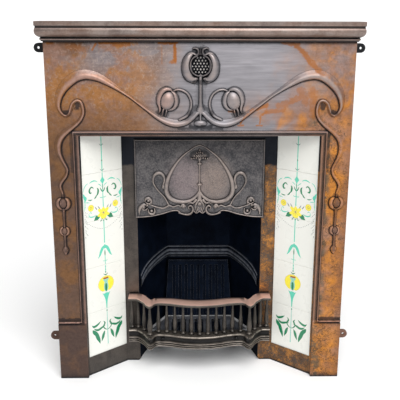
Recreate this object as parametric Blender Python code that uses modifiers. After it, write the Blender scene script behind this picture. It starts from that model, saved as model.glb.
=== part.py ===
"""Cast-iron fireplace surround with a mantel shelf, tiled cheeks, hood, front bars and fireback.

Metres, +Z up. The plinth faces lie in the plane Y = 0 of the group, the room is at -Y and the wall
at +Y. The whole stands on Z = 0, centred on the world origin in X and Y.
"""

import math

import bmesh
import bpy
from mathutils import Matrix, Vector

# Fits between castings, and how far parts of one casting run into each other
GAP = 0.0003
OVERLAP = 0.0015

# Tiles and the splayed cheeks that hold them
TILE_SIZE = 0.1524
TILE_THICKNESS = 0.0074
TILE_JOINT = 0.0005
TILE_ROWS = 5
TILE_LIP = 0.0012
LIP_THICKNESS = 0.002
SPLAY = math.radians(41.1)
CHEEK_INNER_MARGIN = 0.003
CHEEK_OUTER_MARGIN = 0.0085
CHEEK_SKIRT = 0.0641
INSERT_WALL = 0.010
INSERT_ABOVE_TILES = 0.034
FLANGE_WIDTH = 0.030
FLANGE_THICKNESS = 0.006

# Fire opening between the stiles
FIRE_WIDTH = 0.403
FIRE_BELOW_TILES = 0.067
STILE_WIDTH = 0.042
STILE_FOOT_ROUND = 0.008

# Surround front
OPENING_HEIGHT = 0.7985
OPENING_COVER = 0.0032
JAMB_WIDTH = 0.090
HEADER_HEIGHT = 0.2735
PLINTH_HEIGHT = 0.1875
FRONT_PLATE = 0.006
FIELD_DEPTH = 0.006
RETURN_DEPTH = 0.065
RETURN_WALL = 0.006
FRAME_BAND_SIDE = 0.005
FRAME_BAND_TOP = 0.0012
FRAME_WIDTH = 0.013

# Wall lugs
LUG_REACH = 0.038
LUG_RADIUS = 0.014
LUG_HOLE_RADIUS = 0.004
LUG_THICKNESS = 0.008
LUG_TOP_DROP = 0.020
LUG_BOTTOM_HEIGHT = 0.125

# Mantel shelf
SHELF_HEIGHT = 0.056
SHELF_FRONT_OVERHANG = 0.030
SHELF_SIDE_OVERHANG = 0.016
SHELF_TOP_WALL = 0.008
SHELF_FACE_WALL = 0.003
# The shelf's profile from its top down: share of the height, share of the overhang.
SHELF_PROFILE = (
    (0.0, 0.93), (0.027, 1.0), (0.200, 1.0), (0.227, 0.97), (0.241, 0.86), (0.321, 0.86),
    (0.339, 0.92), (0.414, 0.972), (0.488, 0.994), (0.563, 0.979), (0.637, 0.912),
    (0.711, 0.693), (0.786, 0.30), (0.830, 0.26), (0.848, 0.32), (0.888, 0.36), (0.929, 0.32),
    (0.946, 0.20), (1.0, 0.18),
)

# Hood
HOOD_WIDTH = 0.413
HOOD_HEIGHT = 0.256
HOOD_COVER = 0.009
HOOD_THICKNESS = 0.0075
HOOD_BORDER = 0.0045
HOOD_BORDER_RISE = 0.003

# Fire chamber
CHAMBER_BACK_WIDTH = 0.227
CHAMBER_DEPTH = 0.2312
CHAMBER_BOW = 0.008
CHAMBER_RISE = 0.040
CHAMBER_WALL = 0.0065
BAND_BOTTOM = 0.290
BAND_HEIGHT = 0.043
BAND_FALL = 0.018
BAND_RIDGES = 3
BAND_RISE = 0.007
SLAB_TOP = 0.277
SLAB_TOP_WIDTH = 0.216
SLAB_BOTTOM_WIDTH = 0.254
SLAB_LEAN = math.radians(18.0)
SLAB_THICKNESS = 0.012
SLAB_LIP = 0.004
SLAB_EDGE = 0.0012
SLAB_MARGIN = 0.008
SLAB_GROOVES = 9
SLAB_GROOVE_TOP = 0.030
SLAB_GROOVE_DEPTH = 0.004
SLAB_GROOVE_SHARE = 0.5

# Grate
GRATE_LEVEL = 0.100
GRATE_THICKNESS = 0.012
GRATE_RIM = 0.022
GRATE_PITCH = 0.020
GRATE_SLOT = 0.011
GRATE_CLEARANCE = 0.006
GRATE_REACH = 0.035
GRATE_SIDE_CLEARANCE = 0.024
GRATE_NECK = 0.029
GRATE_SHOULDER = 0.010

# Front bars
RAIL_TOP = 0.248
RAIL_THICKNESS = 0.009
RAIL_END = 0.234
LOWER_RAIL_TOP = 0.137
LOWER_RAIL_BOTTOM = 0.088
BAR_RADIUS = 0.0062
BAR_SIDES = 7
BAR_LINE = 0.46
BARS_IN_FRONT = 13
BARS_AT_END = 3
BAR_END_MARGIN = 0.010
CORNER_BAR_SHARE = 1.35

# One bar from its foot up: share of its height, share of its radius.
BAR_PROFILE = ((0.0, 1.15), (0.06, 1.25), (0.12, 0.85), (0.32, 1.0), (1.0, 0.62))
# The lower rail's front, down from its top edge: share towards the back edge, share of its height.
LOWER_PROFILE = ((0.0, 0.95), (0.0, 0.88), (0.16, 0.76), (0.24, 0.58), (0.21, 0.44), (0.11, 0.38),
                 (0.10, 0.28), (0.19, 0.24), (0.15, 0.12), (0.22, 0.0))
# Half of the rails' plan from an end to the middle: the outer edge's place across and how far it
# stands out from the stiles, then the same of the inner edge.
RAIL_PLAN = (
    (0.234, 0.049, 0.234, 0.0004), (0.211, 0.048, 0.212, 0.0004), (0.200, 0.055, 0.196, 0.004),
    (0.183, 0.077, 0.180, 0.020), (0.172, 0.101, 0.169, 0.040), (0.162, 0.112, 0.160, 0.053),
    (0.153, 0.104, 0.153, 0.049), (0.144, 0.087, 0.146, 0.042), (0.129, 0.083, 0.125, 0.040),
    (0.096, 0.088, 0.092, 0.042), (0.064, 0.098, 0.062, 0.050), (0.032, 0.1045, 0.031, 0.056),
    (0.0, 0.107, 0.0, 0.059),
)
RAIL_CUSP = 5

# Places that follow from the sizes above
SEAT_Y = FIELD_DEPTH + FRONT_PLATE + GAP
TILE_WINDOW = TILE_SIZE - 2 * TILE_LIP
CHEEK_LENGTH = CHEEK_INNER_MARGIN + TILE_WINDOW + CHEEK_OUTER_MARGIN
STILE_Y = SEAT_Y + CHEEK_LENGTH * math.sin(SPLAY)
STILE_OUTER = FIRE_WIDTH / 2 + STILE_WIDTH
CHEEK_OUTER = STILE_OUTER + CHEEK_LENGTH * math.cos(SPLAY)
OPENING_HALF = CHEEK_OUTER - OPENING_COVER
BODY_HALF = OPENING_HALF + JAMB_WIDTH
BODY_HEIGHT = OPENING_HEIGHT + HEADER_HEIGHT
FRAME_OUTER = OPENING_HALF + FRAME_BAND_SIDE + FRAME_WIDTH
FRAME_TOP = OPENING_HEIGHT + FRAME_BAND_TOP + FRAME_WIDTH
FRAME_FOOT = PLINTH_HEIGHT + FRAME_WIDTH
TILES_BOTTOM = CHEEK_SKIRT - TILE_LIP
TILES_TOP = TILES_BOTTOM + TILE_ROWS * TILE_SIZE + (TILE_ROWS - 1) * TILE_JOINT
FIRE_TOP = TILES_TOP - FIRE_BELOW_TILES
INSERT_HEIGHT = TILES_TOP + INSERT_ABOVE_TILES
CHAMBER_FRONT = STILE_Y + INSERT_WALL + GAP
CHAMBER_BACK = CHAMBER_FRONT + CHAMBER_DEPTH
CHAMBER_HEIGHT = FIRE_TOP + CHAMBER_RISE
HOOD_TOP = FIRE_TOP + HOOD_COVER
HOOD_CORNER = HOOD_TOP - HOOD_HEIGHT
HOOD_BACK = STILE_Y - GAP
HOOD_FACE = HOOD_BACK - HOOD_THICKNESS
SHELF_BOTTOM = BODY_HEIGHT + GAP
SHELF_TOP = SHELF_BOTTOM + SHELF_HEIGHT
GRATE_FRONT = STILE_Y - GRATE_REACH
GRATE_BACK = CHAMBER_BACK - SLAB_TOP * math.tan(SLAB_LEAN) - SLAB_THICKNESS
GROUP_Y = -(CHAMBER_BACK + CHAMBER_WALL - SHELF_FRONT_OVERHANG) / 2

# How far raised forms run into the face that carries them
RELIEF_SINK = 0.003

# The raised stem, in thousandths of the body's half width. Each point is: across from the middle,
# up from the frame's top, width and rise. It runs from the middle out, over, and down the jamb.
RELIEF_UNIT = BODY_HALF / 1000
STEM = (
    (-9, 140, 22, 16), (29, 118, 29, 18), (88, 68, 38, 20), (157, 53, 45, 22),
    (221, 66, 38, 20), (294, 107, 24, 16), (381, 169, 15, 14), (456, 224, 13, 13),
    (531, 275, 16, 14), (608, 326, 25, 16), (681, 360, 36, 19), (750, 367, 41, 20),
    (821, 341, 41, 20), (878, 288, 40, 18), (911, 220, 35, 17), (917, 160, 26, 15),
    (903, 116, 18, 14), (876, 99, 13, 13), (850, 117, 13, 13), (834, 162, 13, 13),
    (805, 197, 15, 13), (776, 187, 16, 13), (765, 140, 17, 13), (777, 87, 19, 13),
    (814, 47, 22, 13), (865, 11, 27, 14), (909, -35, 33, 15), (936, -99, 35, 15),
    (929, -161, 29, 14), (903, -220, 20, 13), (885, -265, 15, 12), (903, -311, 15, 12),
    (936, -353, 17, 12), (938, -391, 16, 12), (925, -431, 15, 12), (922, -462, 13, 11),
)
CURL = (
    (145, 62, 14, 11), (100, 92, 14, 12), (69, 133, 13, 12), (60, 189, 13, 12),
    (79, 240, 13, 12), (113, 268, 13, 12), (150, 270, 12, 12), (186, 248, 11, 11),
)
DROP_X = 922
LARGE_DROP = (-490, 48, 46, 22)
SMALL_DROP = (-680, 34, 36, 17)
POINT_DROP = (-820, 22, 42, 13)
BUD = (214, 204, 62, 1.05)
FRUIT_Z = 434
SEED_ROWS = (3, 4, 5, 4, 3, 2)
SEED_PITCH = 21.5
SEED_RADIUS = 8.2


def clear_scene():
    """Start from an empty scene with one collection for the object and one for its cutters."""
    for old in list(bpy.data.objects):
        bpy.data.objects.remove(old, do_unlink=True)
    for name in ("fireplace_surround", "cutters"):
        bpy.context.scene.collection.children.link(bpy.data.collections.new(name))


def material(name, colour, roughness, metallic):
    """A plain Principled material in the piece's own colour."""
    made = bpy.data.materials.new(name)
    made.use_nodes = True
    shader = made.node_tree.nodes["Principled BSDF"]
    shader.inputs["Base Color"].default_value = (*colour, 1.0)
    shader.inputs["Roughness"].default_value = roughness
    shader.inputs["Metallic"].default_value = metallic
    return made


def link_mesh(name, mesh, root=None, finish=None):
    """Put a mesh in the scene: a piece under the root, or a cutter when it has none."""
    made = bpy.data.objects.new(name, mesh)
    if root is None:
        bpy.data.collections["cutters"].objects.link(made)
        made.hide_render = True
        made.display_type = "WIRE"
    else:
        bpy.data.collections["fireplace_surround"].objects.link(made)
        made.data.materials.append(finish)
        made.parent = root
    return made


def mesh_from(bm, name):
    """Close a bmesh into a mesh whose faces point out."""
    bmesh.ops.recalc_face_normals(bm, faces=bm.faces)
    mesh = bpy.data.meshes.new(name)
    bm.to_mesh(mesh)
    bm.free()
    return mesh


def box_mesh(name, low, high):
    """A block between two corners."""
    bm = bmesh.new()
    size = Vector(high) - Vector(low)
    middle = (Vector(high) + Vector(low)) / 2
    place = Matrix.Translation(middle) @ Matrix.Diagonal((*size, 1.0))
    bmesh.ops.create_cube(bm, size=1.0, matrix=place)
    return mesh_from(bm, name)


def outline_mesh(name, outlines, low, high, upright=True):
    """A flat outline, with any holes, given its thickness.

    Upright outlines are in X and Z and run from Y = low to high; the others are in X and Y and run
    from Z = low to high.
    """
    curve = bpy.data.curves.new(name, "CURVE")
    curve.dimensions = "2D"
    curve.fill_mode = "BOTH"
    curve.extrude = (high - low) / 2
    for outline in outlines:
        spline = curve.splines.new("POLY")
        spline.points.add(len(outline) - 1)
        for point, (across, along) in zip(spline.points, outline):
            point.co = (across, along, 0.0, 1.0)
        spline.use_cyclic_u = True
    flat = bpy.data.objects.new(name, curve)
    bpy.context.scene.collection.objects.link(flat)
    seen = bpy.context.evaluated_depsgraph_get()
    mesh = bpy.data.meshes.new_from_object(flat.evaluated_get(seen))
    bpy.data.objects.remove(flat, do_unlink=True)
    if upright:
        turn = Matrix.Translation((0, (low + high) / 2, 0)) @ Matrix.Rotation(math.pi / 2, 4, "X")
    else:
        turn = Matrix.Translation((0, 0, (low + high) / 2))
    mesh.transform(turn)
    bm = bmesh.new()
    bm.from_mesh(mesh)
    bmesh.ops.remove_doubles(bm, verts=bm.verts, dist=1e-6)
    bpy.data.meshes.remove(mesh)
    return mesh_from(bm, name)


def loft_mesh(name, rings):
    """A closed body through rings of points, each ring as long as the next."""
    bm = bmesh.new()
    loops = [[bm.verts.new(point) for point in ring] for ring in rings]
    count = len(loops[0])
    for near, far in zip(loops, loops[1:]):
        for i in range(count):
            j = (i + 1) % count
            bm.faces.new((near[i], near[j], far[j], far[i]))
    bm.faces.new(loops[0])
    bm.faces.new(loops[-1])
    bmesh.ops.triangulate(bm, faces=[face for face in bm.faces if len(face.verts) > 4])
    return mesh_from(bm, name)


def turned_mesh(name, profile, sides):
    """A turned piece from a profile of (radius, height) that runs from its top to its bottom."""
    mesh = bpy.data.meshes.new(name)
    points = [(radius, 0.0, height) for radius, height in profile]
    mesh.from_pydata(points, [(i, i + 1) for i in range(len(points) - 1)], [])
    lathe = bpy.data.objects.new(name, mesh)
    bpy.context.scene.collection.objects.link(lathe)
    screw = lathe.modifiers.new("turn", "SCREW")
    screw.steps = sides
    screw.render_steps = sides
    screw.use_merge_vertices = True
    screw.merge_threshold = 1e-5
    seen = bpy.context.evaluated_depsgraph_get()
    made = bpy.data.meshes.new_from_object(lathe.evaluated_get(seen))
    bpy.data.objects.remove(lathe, do_unlink=True)
    bm = bmesh.new()
    bm.from_mesh(made)
    bmesh.ops.remove_doubles(bm, verts=bm.verts, dist=1e-6)
    bpy.data.meshes.remove(made)
    return mesh_from(bm, name)


def mirrored(mesh):
    """The same body on the other side of X = 0, as a new mesh."""
    made = mesh.copy()
    made.transform(Matrix.Scale(-1, 4, (1, 0, 0)))
    made.flip_normals()
    return made


def combine(piece, other, operation, solver="EXACT"):
    """Cut or add one mesh object."""
    step = piece.modifiers.new(other.name, "BOOLEAN")
    step.operation = operation
    step.solver = solver
    step.object = other
    other.parent = piece.parent


def cut(piece, mesh):
    """Take a shape out of a piece."""
    combine(piece, link_mesh(mesh.name, mesh), "DIFFERENCE")


def add(piece, mesh):
    """Cast a shape onto a piece, with the solver that keeps many small bodies closed."""
    combine(piece, link_mesh(mesh.name, mesh), "UNION", "MANIFOLD")


def fused(name, meshes):
    """One closed body from many that overlap."""
    shapes = [bpy.data.objects.new(mesh.name, mesh) for mesh in meshes]
    for shape in shapes:
        bpy.context.scene.collection.objects.link(shape)
    for shape in shapes[1:]:
        combine(shapes[0], shape, "UNION", "MANIFOLD")
    seen = bpy.context.evaluated_depsgraph_get()
    made = bpy.data.meshes.new_from_object(shapes[0].evaluated_get(seen))
    made.name = name
    for shape in shapes:
        bpy.data.objects.remove(shape, do_unlink=True)
    for mesh in meshes:
        bpy.data.meshes.remove(mesh)
    return made


def arc(centre, radius, start, end, steps):
    """Points on an arc, from one angle to another in degrees."""
    points = []
    for i in range(steps + 1):
        angle = math.radians(start + (end - start) * i / steps)
        points.append((centre[0] + radius * math.cos(angle), centre[1] + radius * math.sin(angle)))
    return points


def smooth_path(keys, step):
    """Points on a smooth curve through keys of any size, about one step apart."""
    ends = [tuple(2 * a - b for a, b in zip(keys[0], keys[1]))]
    tail = [tuple(2 * a - b for a, b in zip(keys[-1], keys[-2]))]
    all_keys = ends + list(keys) + tail
    path = []
    for i in range(1, len(all_keys) - 2):
        p0, p1, p2, p3 = all_keys[i - 1:i + 3]
        length = math.hypot(p2[0] - p1[0], p2[1] - p1[1])
        count = max(1, round(length / step))
        for k in range(count):
            t = k / count
            path.append(tuple(
                0.5 * (2 * b + (c - a) * t + (2 * a - 5 * b + 4 * c - d) * t * t
                       + (3 * b - a - 3 * c + d) * t ** 3)
                for a, b, c, d in zip(p0, p1, p2, p3)))
    path.append(tuple(all_keys[-2]))
    return path


# Half of a raised stem's section: share of the half width, share of the rise.
STEM_SECTION = ((1.0, 0.0), (0.62, 0.88))


def strip_mesh(name, keys, base_y, step):
    """A raised stem: a rounded section swept along a path of (x, z, width, rise)."""
    path = smooth_path(keys, step)
    rings = []
    for i, (x, z, width, rise) in enumerate(path):
        before = path[max(i - 1, 0)]
        after = path[min(i + 1, len(path) - 1)]
        along = Vector((after[0] - before[0], after[1] - before[1])).normalized()
        side = Vector((-along.y, along.x))
        half = width / 2
        section = [(-half, -RELIEF_SINK)]
        section += [(-half * share, rise * up) for share, up in STEM_SECTION]
        section += [(half * share, rise * up) for share, up in reversed(STEM_SECTION)]
        section += [(half, -RELIEF_SINK)]
        rings.append([(x + side.x * s, base_y - h, z + side.y * s) for s, h in section])
    return loft_mesh(name, rings)


def dome_mesh(name, centre, half_width, half_height, rise, base_y, tilt=0.0, sides=10, rings=4):
    """A raised oval bead, cut off flat just under the face it sits on."""
    bm = bmesh.new()
    place = (
        Matrix.Translation((centre[0], base_y, centre[1]))
        @ Matrix.Rotation(tilt, 4, "Y")
        @ Matrix.Diagonal((half_width, rise, half_height, 1.0))
        @ Matrix.Rotation(math.pi / 2, 4, "X")
    )
    bmesh.ops.create_uvsphere(bm, u_segments=sides, v_segments=rings, radius=1.0, matrix=place)
    whole = bm.verts[:] + bm.edges[:] + bm.faces[:]
    sunk = bmesh.ops.bisect_plane(bm, geom=whole, plane_co=(0, base_y + RELIEF_SINK * 0.8, 0),
                                  plane_no=(0, 1, 0), clear_outer=True)
    rim = [item for item in sunk["geom_cut"] if isinstance(item, bmesh.types.BMEdge)]
    bmesh.ops.edgeloop_fill(bm, edges=rim)
    return mesh_from(bm, name)


def relief_point(across, up):
    """A place on the header's field from its shares."""
    return across * RELIEF_UNIT, FRAME_TOP + up * RELIEF_UNIT


def relief_keys(points):
    """Strip keys on the field from shares, in metres."""
    return [(*relief_point(x, z), w * RELIEF_UNIT, h * RELIEF_UNIT) for x, z, w, h in points]


def petal_keys(centre, across, up, lean, start, end, width, rise):
    """A crescent petal round a bud's heart, thin at both ends."""
    keys = []
    steps = 5
    for i in range(steps + 1):
        share = i / steps
        angle = math.radians(start + (end - start) * share)
        x = math.cos(angle) * across
        z = math.sin(angle) * up
        swell = 0.3 + 0.7 * math.sin(math.pi * share)
        keys.append((
            centre[0] + x * math.cos(lean) - z * math.sin(lean),
            centre[1] + x * math.sin(lean) + z * math.cos(lean),
            width * swell,
            rise * swell,
        ))
    return keys


def drop_meshes(base_y):
    """The two buds and the pointed drop that hang down a jamb, with their stems."""
    step = 30 * RELIEF_UNIT
    made = []
    for number, (up, half, height, rise) in enumerate((LARGE_DROP, SMALL_DROP), 1):
        x, z = relief_point(DROP_X, up)
        unit = RELIEF_UNIT
        made.append(dome_mesh(f"drop_{number}_heart", (x, z - 0.1 * half * unit), half * 0.46 * unit,
                              height * 0.62 * unit, rise * unit, base_y))
        for side, start, end in (("out", 100, -85), ("in", 80, 265)):
            keys = petal_keys((x, z), half * 0.78 * unit, height * 0.80 * unit, 0.0,
                              start, end, half * 0.46 * unit, rise * 0.8 * unit)
            made.append(strip_mesh(f"drop_{number}_{side}", keys, base_y, step))
    stems = ((LARGE_DROP[0], SMALL_DROP[0]), (SMALL_DROP[0], POINT_DROP[0]))
    for number, (top, bottom) in enumerate(stems, 1):
        keys = relief_keys(((DROP_X, top - 36, 11, 10), (DROP_X, (top + bottom) / 2, 10, 10),
                            (DROP_X, bottom + 26, 12, 10)))
        made.append(strip_mesh(f"drop_stem_{number}", keys, base_y, 3 * step))
    up, half, height, rise = POINT_DROP
    keys = relief_keys(((DROP_X, up + 20, 10, 8), (DROP_X, up + 4, half * 1.5, rise),
                        (DROP_X, up - 8, half * 1.7, rise), (DROP_X, up - height * 0.8, 6, 6)))
    made.append(strip_mesh("point_drop", keys, base_y, step))
    return made


def bud_meshes(base_y):
    """The tilted bud at the end of the curl: a round heart between two curved petals."""
    across, up, half, stretch = BUD
    centre = relief_point(across, up)
    unit = RELIEF_UNIT
    lean = math.radians(24)
    step = 28 * unit
    heart = dome_mesh("bud_heart", centre, half * 0.52 * unit, half * 0.68 * unit, 30 * unit,
                      base_y, tilt=-lean)
    outer = petal_keys(centre, half * 0.86 * unit, half * 0.92 * unit, lean, 100, -75,
                       half * 0.44 * unit, 24 * unit)
    inner = petal_keys(centre, half * 0.82 * unit, half * 0.84 * stretch * unit, lean, 70, 262,
                       half * 0.36 * unit, 20 * unit)
    tip = relief_keys(((across + 22, up - 48, 20, 15), (across + 42, up - 74, 26, 14),
                       (across + 56, up - 92, 10, 8)))
    return [heart, strip_mesh("bud_outer", outer, base_y, step),
            strip_mesh("bud_inner", inner, base_y, step), strip_mesh("bud_tip", tip, base_y, step)]


def fruit_half_meshes(base_y):
    """One half of the split fruit: the fat outer lobe, the lip and the curled sepal."""
    z = FRUIT_Z
    lobe = relief_keys((
        (58, z + 66, 22, 20), (86, z + 44, 34, 30), (97, z - 2, 40, 36), (92, z - 48, 38, 34),
        (66, z - 88, 38, 30), (30, z - 108, 34, 24), (-6, z - 112, 22, 18)))
    lip = relief_keys((
        (-6, z + 62, 12, 26), (34, z + 58, 12, 28), (62, z + 24, 13, 32), (62, z - 20, 13, 32),
        (42, z - 58, 13, 30), (14, z - 66, 13, 26), (-4, z - 44, 11, 20)))
    horn = relief_keys((
        (74, z + 54, 16, 24), (58, z + 74, 18, 28), (26, z + 74, 17, 28), (12, z + 96, 15, 26),
        (22, z + 114, 13, 22), (44, z + 112, 10, 16)))
    step = 34 * RELIEF_UNIT
    return [strip_mesh("lobe", lobe, base_y, step), strip_mesh("lip", lip, base_y, step),
            strip_mesh("horn", horn, base_y, step)]


def fruit_middle_meshes(base_y):
    """The bed, the seeds, the spikes above them and the bud under the swags."""
    unit = RELIEF_UNIT
    x, z = relief_point(0, FRUIT_Z)
    made = [dome_mesh("seed_bed", (x, z), 66 * unit, 70 * unit, 18 * unit, base_y, sides=14)]
    first = (len(SEED_ROWS) - 1) / 2 * SEED_PITCH * 0.87
    for row, count in enumerate(SEED_ROWS):
        up = first - row * SEED_PITCH * 0.87
        for place in range(count):
            across = (place - (count - 1) / 2) * SEED_PITCH
            centre = (x + across * unit, z + up * unit)
            made.append(dome_mesh(f"seed_{row}_{place}", centre, SEED_RADIUS * unit,
                                  SEED_RADIUS * unit, 28 * unit, base_y, sides=5))
    for number, across in enumerate((-18, 0, 18)):
        keys = relief_keys(((across * 0.4, FRUIT_Z + 68, 12, 20), (across, FRUIT_Z + 112, 5, 14)))
        made.append(strip_mesh(f"spike_{number}", keys, base_y, 60 * unit))
    stem = relief_keys(((0, FRUIT_Z - 96, 34, 22), (0, FRUIT_Z - 134, 20, 20), (0, 230, 20, 18),
                        (0, 165, 24, 18), (0, 128, 38, 16), (0, 100, 24, 13)))
    made.append(strip_mesh("centre_stem", stem, base_y, 30 * unit))
    low = relief_point(0, 62)
    made.append(dome_mesh("low_bud", low, 42 * unit, 24 * unit, 20 * unit, base_y))
    return made


def relief_meshes():
    """Every raised form on the header and the jambs, both sides."""
    base_y = FIELD_DEPTH
    step = 64 * RELIEF_UNIT
    half = [strip_mesh("stem", relief_keys(STEM), base_y, step)]
    half.append(strip_mesh("curl", relief_keys(CURL), base_y, step))
    half += drop_meshes(base_y) + bud_meshes(base_y) + fruit_half_meshes(base_y)
    return half + [mirrored(mesh) for mesh in half] + fruit_middle_meshes(base_y)


def frame_cutter():
    """The hollow side of the frame moulding, swept round the opening and out over the plinths."""
    bead = FRAME_WIDTH * 0.42
    crest = GAP
    floor = FIELD_DEPTH - GAP
    section = [(-0.002, -0.010), (-0.002, floor), (0.0, floor)]
    section += [(bead * 0.12, FIELD_DEPTH * 0.35), (bead * 0.35, crest), (bead * 0.65, crest)]
    section += [(bead * 0.88, FIELD_DEPTH * 0.35), (bead, FIELD_DEPTH * 0.7)]
    section += [(FRAME_WIDTH * 0.78, FIELD_DEPTH * 0.7), (FRAME_WIDTH * 0.82, FIELD_DEPTH * 0.2)]
    section += [(FRAME_WIDTH * 0.95, FIELD_DEPTH * 0.2), (FRAME_WIDTH, FIELD_DEPTH * 0.35)]
    section += [(FRAME_WIDTH, -0.010)]
    past = BODY_HALF + 0.010
    path = [(-past, FRAME_FOOT), (-FRAME_OUTER, FRAME_FOOT), (-FRAME_OUTER, FRAME_TOP),
            (FRAME_OUTER, FRAME_TOP), (FRAME_OUTER, FRAME_FOOT), (past, FRAME_FOOT)]
    inward = [(0, -1), (1, -1), (1, -1), (-1, -1), (-1, -1), (0, -1)]
    rings = []
    for (x, z), (dx, dz) in zip(path, inward):
        rings.append([(x + dx * t, y, z + dz * t) for t, y in section])
    return loft_mesh("frame_profile", rings)


def surround_front(root, finish):
    """Header, jambs and plinths in one hollow-backed casting, with its lugs and relief."""
    body = box_mesh("surround_front", (-BODY_HALF, 0, 0), (BODY_HALF, RETURN_DEPTH, BODY_HEIGHT))
    piece = link_mesh("surround_front", body, root, finish)
    beyond = 0.05
    cut(piece, outline_mesh("opening", [[
        (-OPENING_HALF, -beyond), (OPENING_HALF, -beyond),
        (OPENING_HALF, OPENING_HEIGHT), (-OPENING_HALF, OPENING_HEIGHT)]],
        -beyond, RETURN_DEPTH + beyond))
    inner = BODY_HALF - RETURN_WALL
    cut(piece, box_mesh("hollow_back", (-inner, FIELD_DEPTH + FRONT_PLATE, -beyond),
                        (inner, RETURN_DEPTH + beyond, BODY_HEIGHT - RETURN_WALL)))
    far = BODY_HALF + beyond
    cut(piece, outline_mesh("field", [[
        (-far, FRAME_FOOT), (-FRAME_OUTER, FRAME_FOOT), (-FRAME_OUTER, FRAME_TOP),
        (FRAME_OUTER, FRAME_TOP), (FRAME_OUTER, FRAME_FOOT), (far, FRAME_FOOT),
        (far, BODY_HEIGHT + beyond), (-far, BODY_HEIGHT + beyond)]], -beyond, FIELD_DEPTH))
    cut(piece, frame_cutter())
    add(piece, fused("lugs", lug_meshes()))
    add(piece, fused("relief", relief_meshes()))
    return piece


def lug_meshes():
    """Four wall lugs with their screw holes, two on each side return."""
    made = []
    eye = BODY_HALF + LUG_REACH - LUG_RADIUS
    root_x = BODY_HALF - RETURN_WALL / 2
    for number, z in enumerate((BODY_HEIGHT - LUG_TOP_DROP, LUG_BOTTOM_HEIGHT), 1):
        ear = [(root_x, z - LUG_RADIUS)] + arc((eye, z), LUG_RADIUS, -90, 90, 8)
        ear += [(root_x, z + LUG_RADIUS)]
        hole = arc((eye, z), LUG_HOLE_RADIUS, 0, 315, 7)
        low = RETURN_DEPTH - LUG_THICKNESS
        mesh = outline_mesh(f"lug_{number}", [ear, hole], low, RETURN_DEPTH)
        made += [mesh, mirrored(mesh)]
    return made


def mantel_shelf(root, finish):
    """The moulded shelf: fascia, groove, fat round, bead and quirk, returned at both ends."""
    rings = []
    for down, share in SHELF_PROFILE:
        x = BODY_HALF + SHELF_SIDE_OVERHANG * share
        front = -SHELF_FRONT_OVERHANG * share
        z = SHELF_TOP - down * SHELF_HEIGHT
        rings.append([(-x, front, z), (x, front, z), (x, RETURN_DEPTH, z), (-x, RETURN_DEPTH, z)])
    piece = link_mesh("mantel_shelf", loft_mesh("mantel_shelf", rings), root, finish)
    inner = BODY_HALF - SHELF_FACE_WALL
    beyond = 0.05
    cut(piece, box_mesh("shelf_hollow", (-inner, SHELF_FACE_WALL, SHELF_BOTTOM - beyond),
                        (inner, RETURN_DEPTH + beyond, SHELF_TOP - SHELF_TOP_WALL)))
    return piece


def cheek_place(side, along, depth, z):
    """A point by the right (+1) or left (-1) cheek's face: along it, behind it, and up."""
    x = STILE_OUTER + along * math.cos(SPLAY) + depth * math.sin(SPLAY)
    y = STILE_Y - along * math.sin(SPLAY) + depth * math.cos(SPLAY)
    return Vector((side * x, y, z))


def cheek_block(name, side, along, depth, height):
    """A block square to a cheek, from spans along it, behind its face and up."""
    size = (along[1] - along[0], depth[1] - depth[0], height[1] - height[0])
    middle = cheek_place(side, sum(along) / 2, sum(depth) / 2, sum(height) / 2)
    place = Matrix.Translation(middle) @ Matrix.Rotation(-side * SPLAY, 4, "Z")
    bm = bmesh.new()
    bmesh.ops.create_cube(bm, size=1.0, matrix=place @ Matrix.Diagonal((*size, 1.0)))
    return mesh_from(bm, name)


def insert_frame(root, finish):
    """The register plate: flanges, splayed cheeks, stiles and lintel."""
    flange_back = SEAT_Y + FLANGE_THICKNESS
    seat_along = (STILE_Y + INSERT_WALL * math.cos(SPLAY) - flange_back) / math.sin(SPLAY)
    turn_along = INSERT_WALL * (math.cos(SPLAY) - 1) / math.sin(SPLAY)
    back_seat = cheek_place(1, seat_along, INSERT_WALL, 0)
    back_turn = cheek_place(1, turn_along, INSERT_WALL, 0)
    half = [(STILE_OUTER, STILE_Y), (CHEEK_OUTER, SEAT_Y), (CHEEK_OUTER + FLANGE_WIDTH, SEAT_Y),
            (CHEEK_OUTER + FLANGE_WIDTH, flange_back), back_seat.xy, back_turn.xy]
    plan = list(half) + [(-x, y) for x, y in reversed(half)]
    body = outline_mesh("insert_frame", [plan], 0, INSERT_HEIGHT, upright=False)
    piece = link_mesh("insert_frame", body, root, finish)
    beyond = 0.03
    edge = FIRE_WIDTH / 2
    foot = STILE_FOOT_ROUND
    corner = arc((edge + foot, foot), foot, 270, 180, 4)
    mouth = [(edge + foot, -beyond)] + corner + [(edge, FIRE_TOP)]
    mouth += [(-x, z) for x, z in reversed(mouth)]
    cut(piece, outline_mesh("fire_opening", [mouth], STILE_Y - beyond, STILE_Y + beyond))
    start = CHEEK_INNER_MARGIN
    lip = TILE_LIP + GAP
    for side, word in ((-1, "left"), (1, "right")):
        cut(piece, cheek_block(f"window_{word}", side, (start, start + TILE_WINDOW),
                               (-beyond, beyond), (CHEEK_SKIRT, TILES_TOP - TILE_LIP)))
        cut(piece, cheek_block(f"pocket_{word}", side, (start - lip, start + TILE_WINDOW + lip),
                               (LIP_THICKNESS, beyond), (TILES_BOTTOM - GAP, TILES_TOP + GAP)))
    return piece


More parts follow.
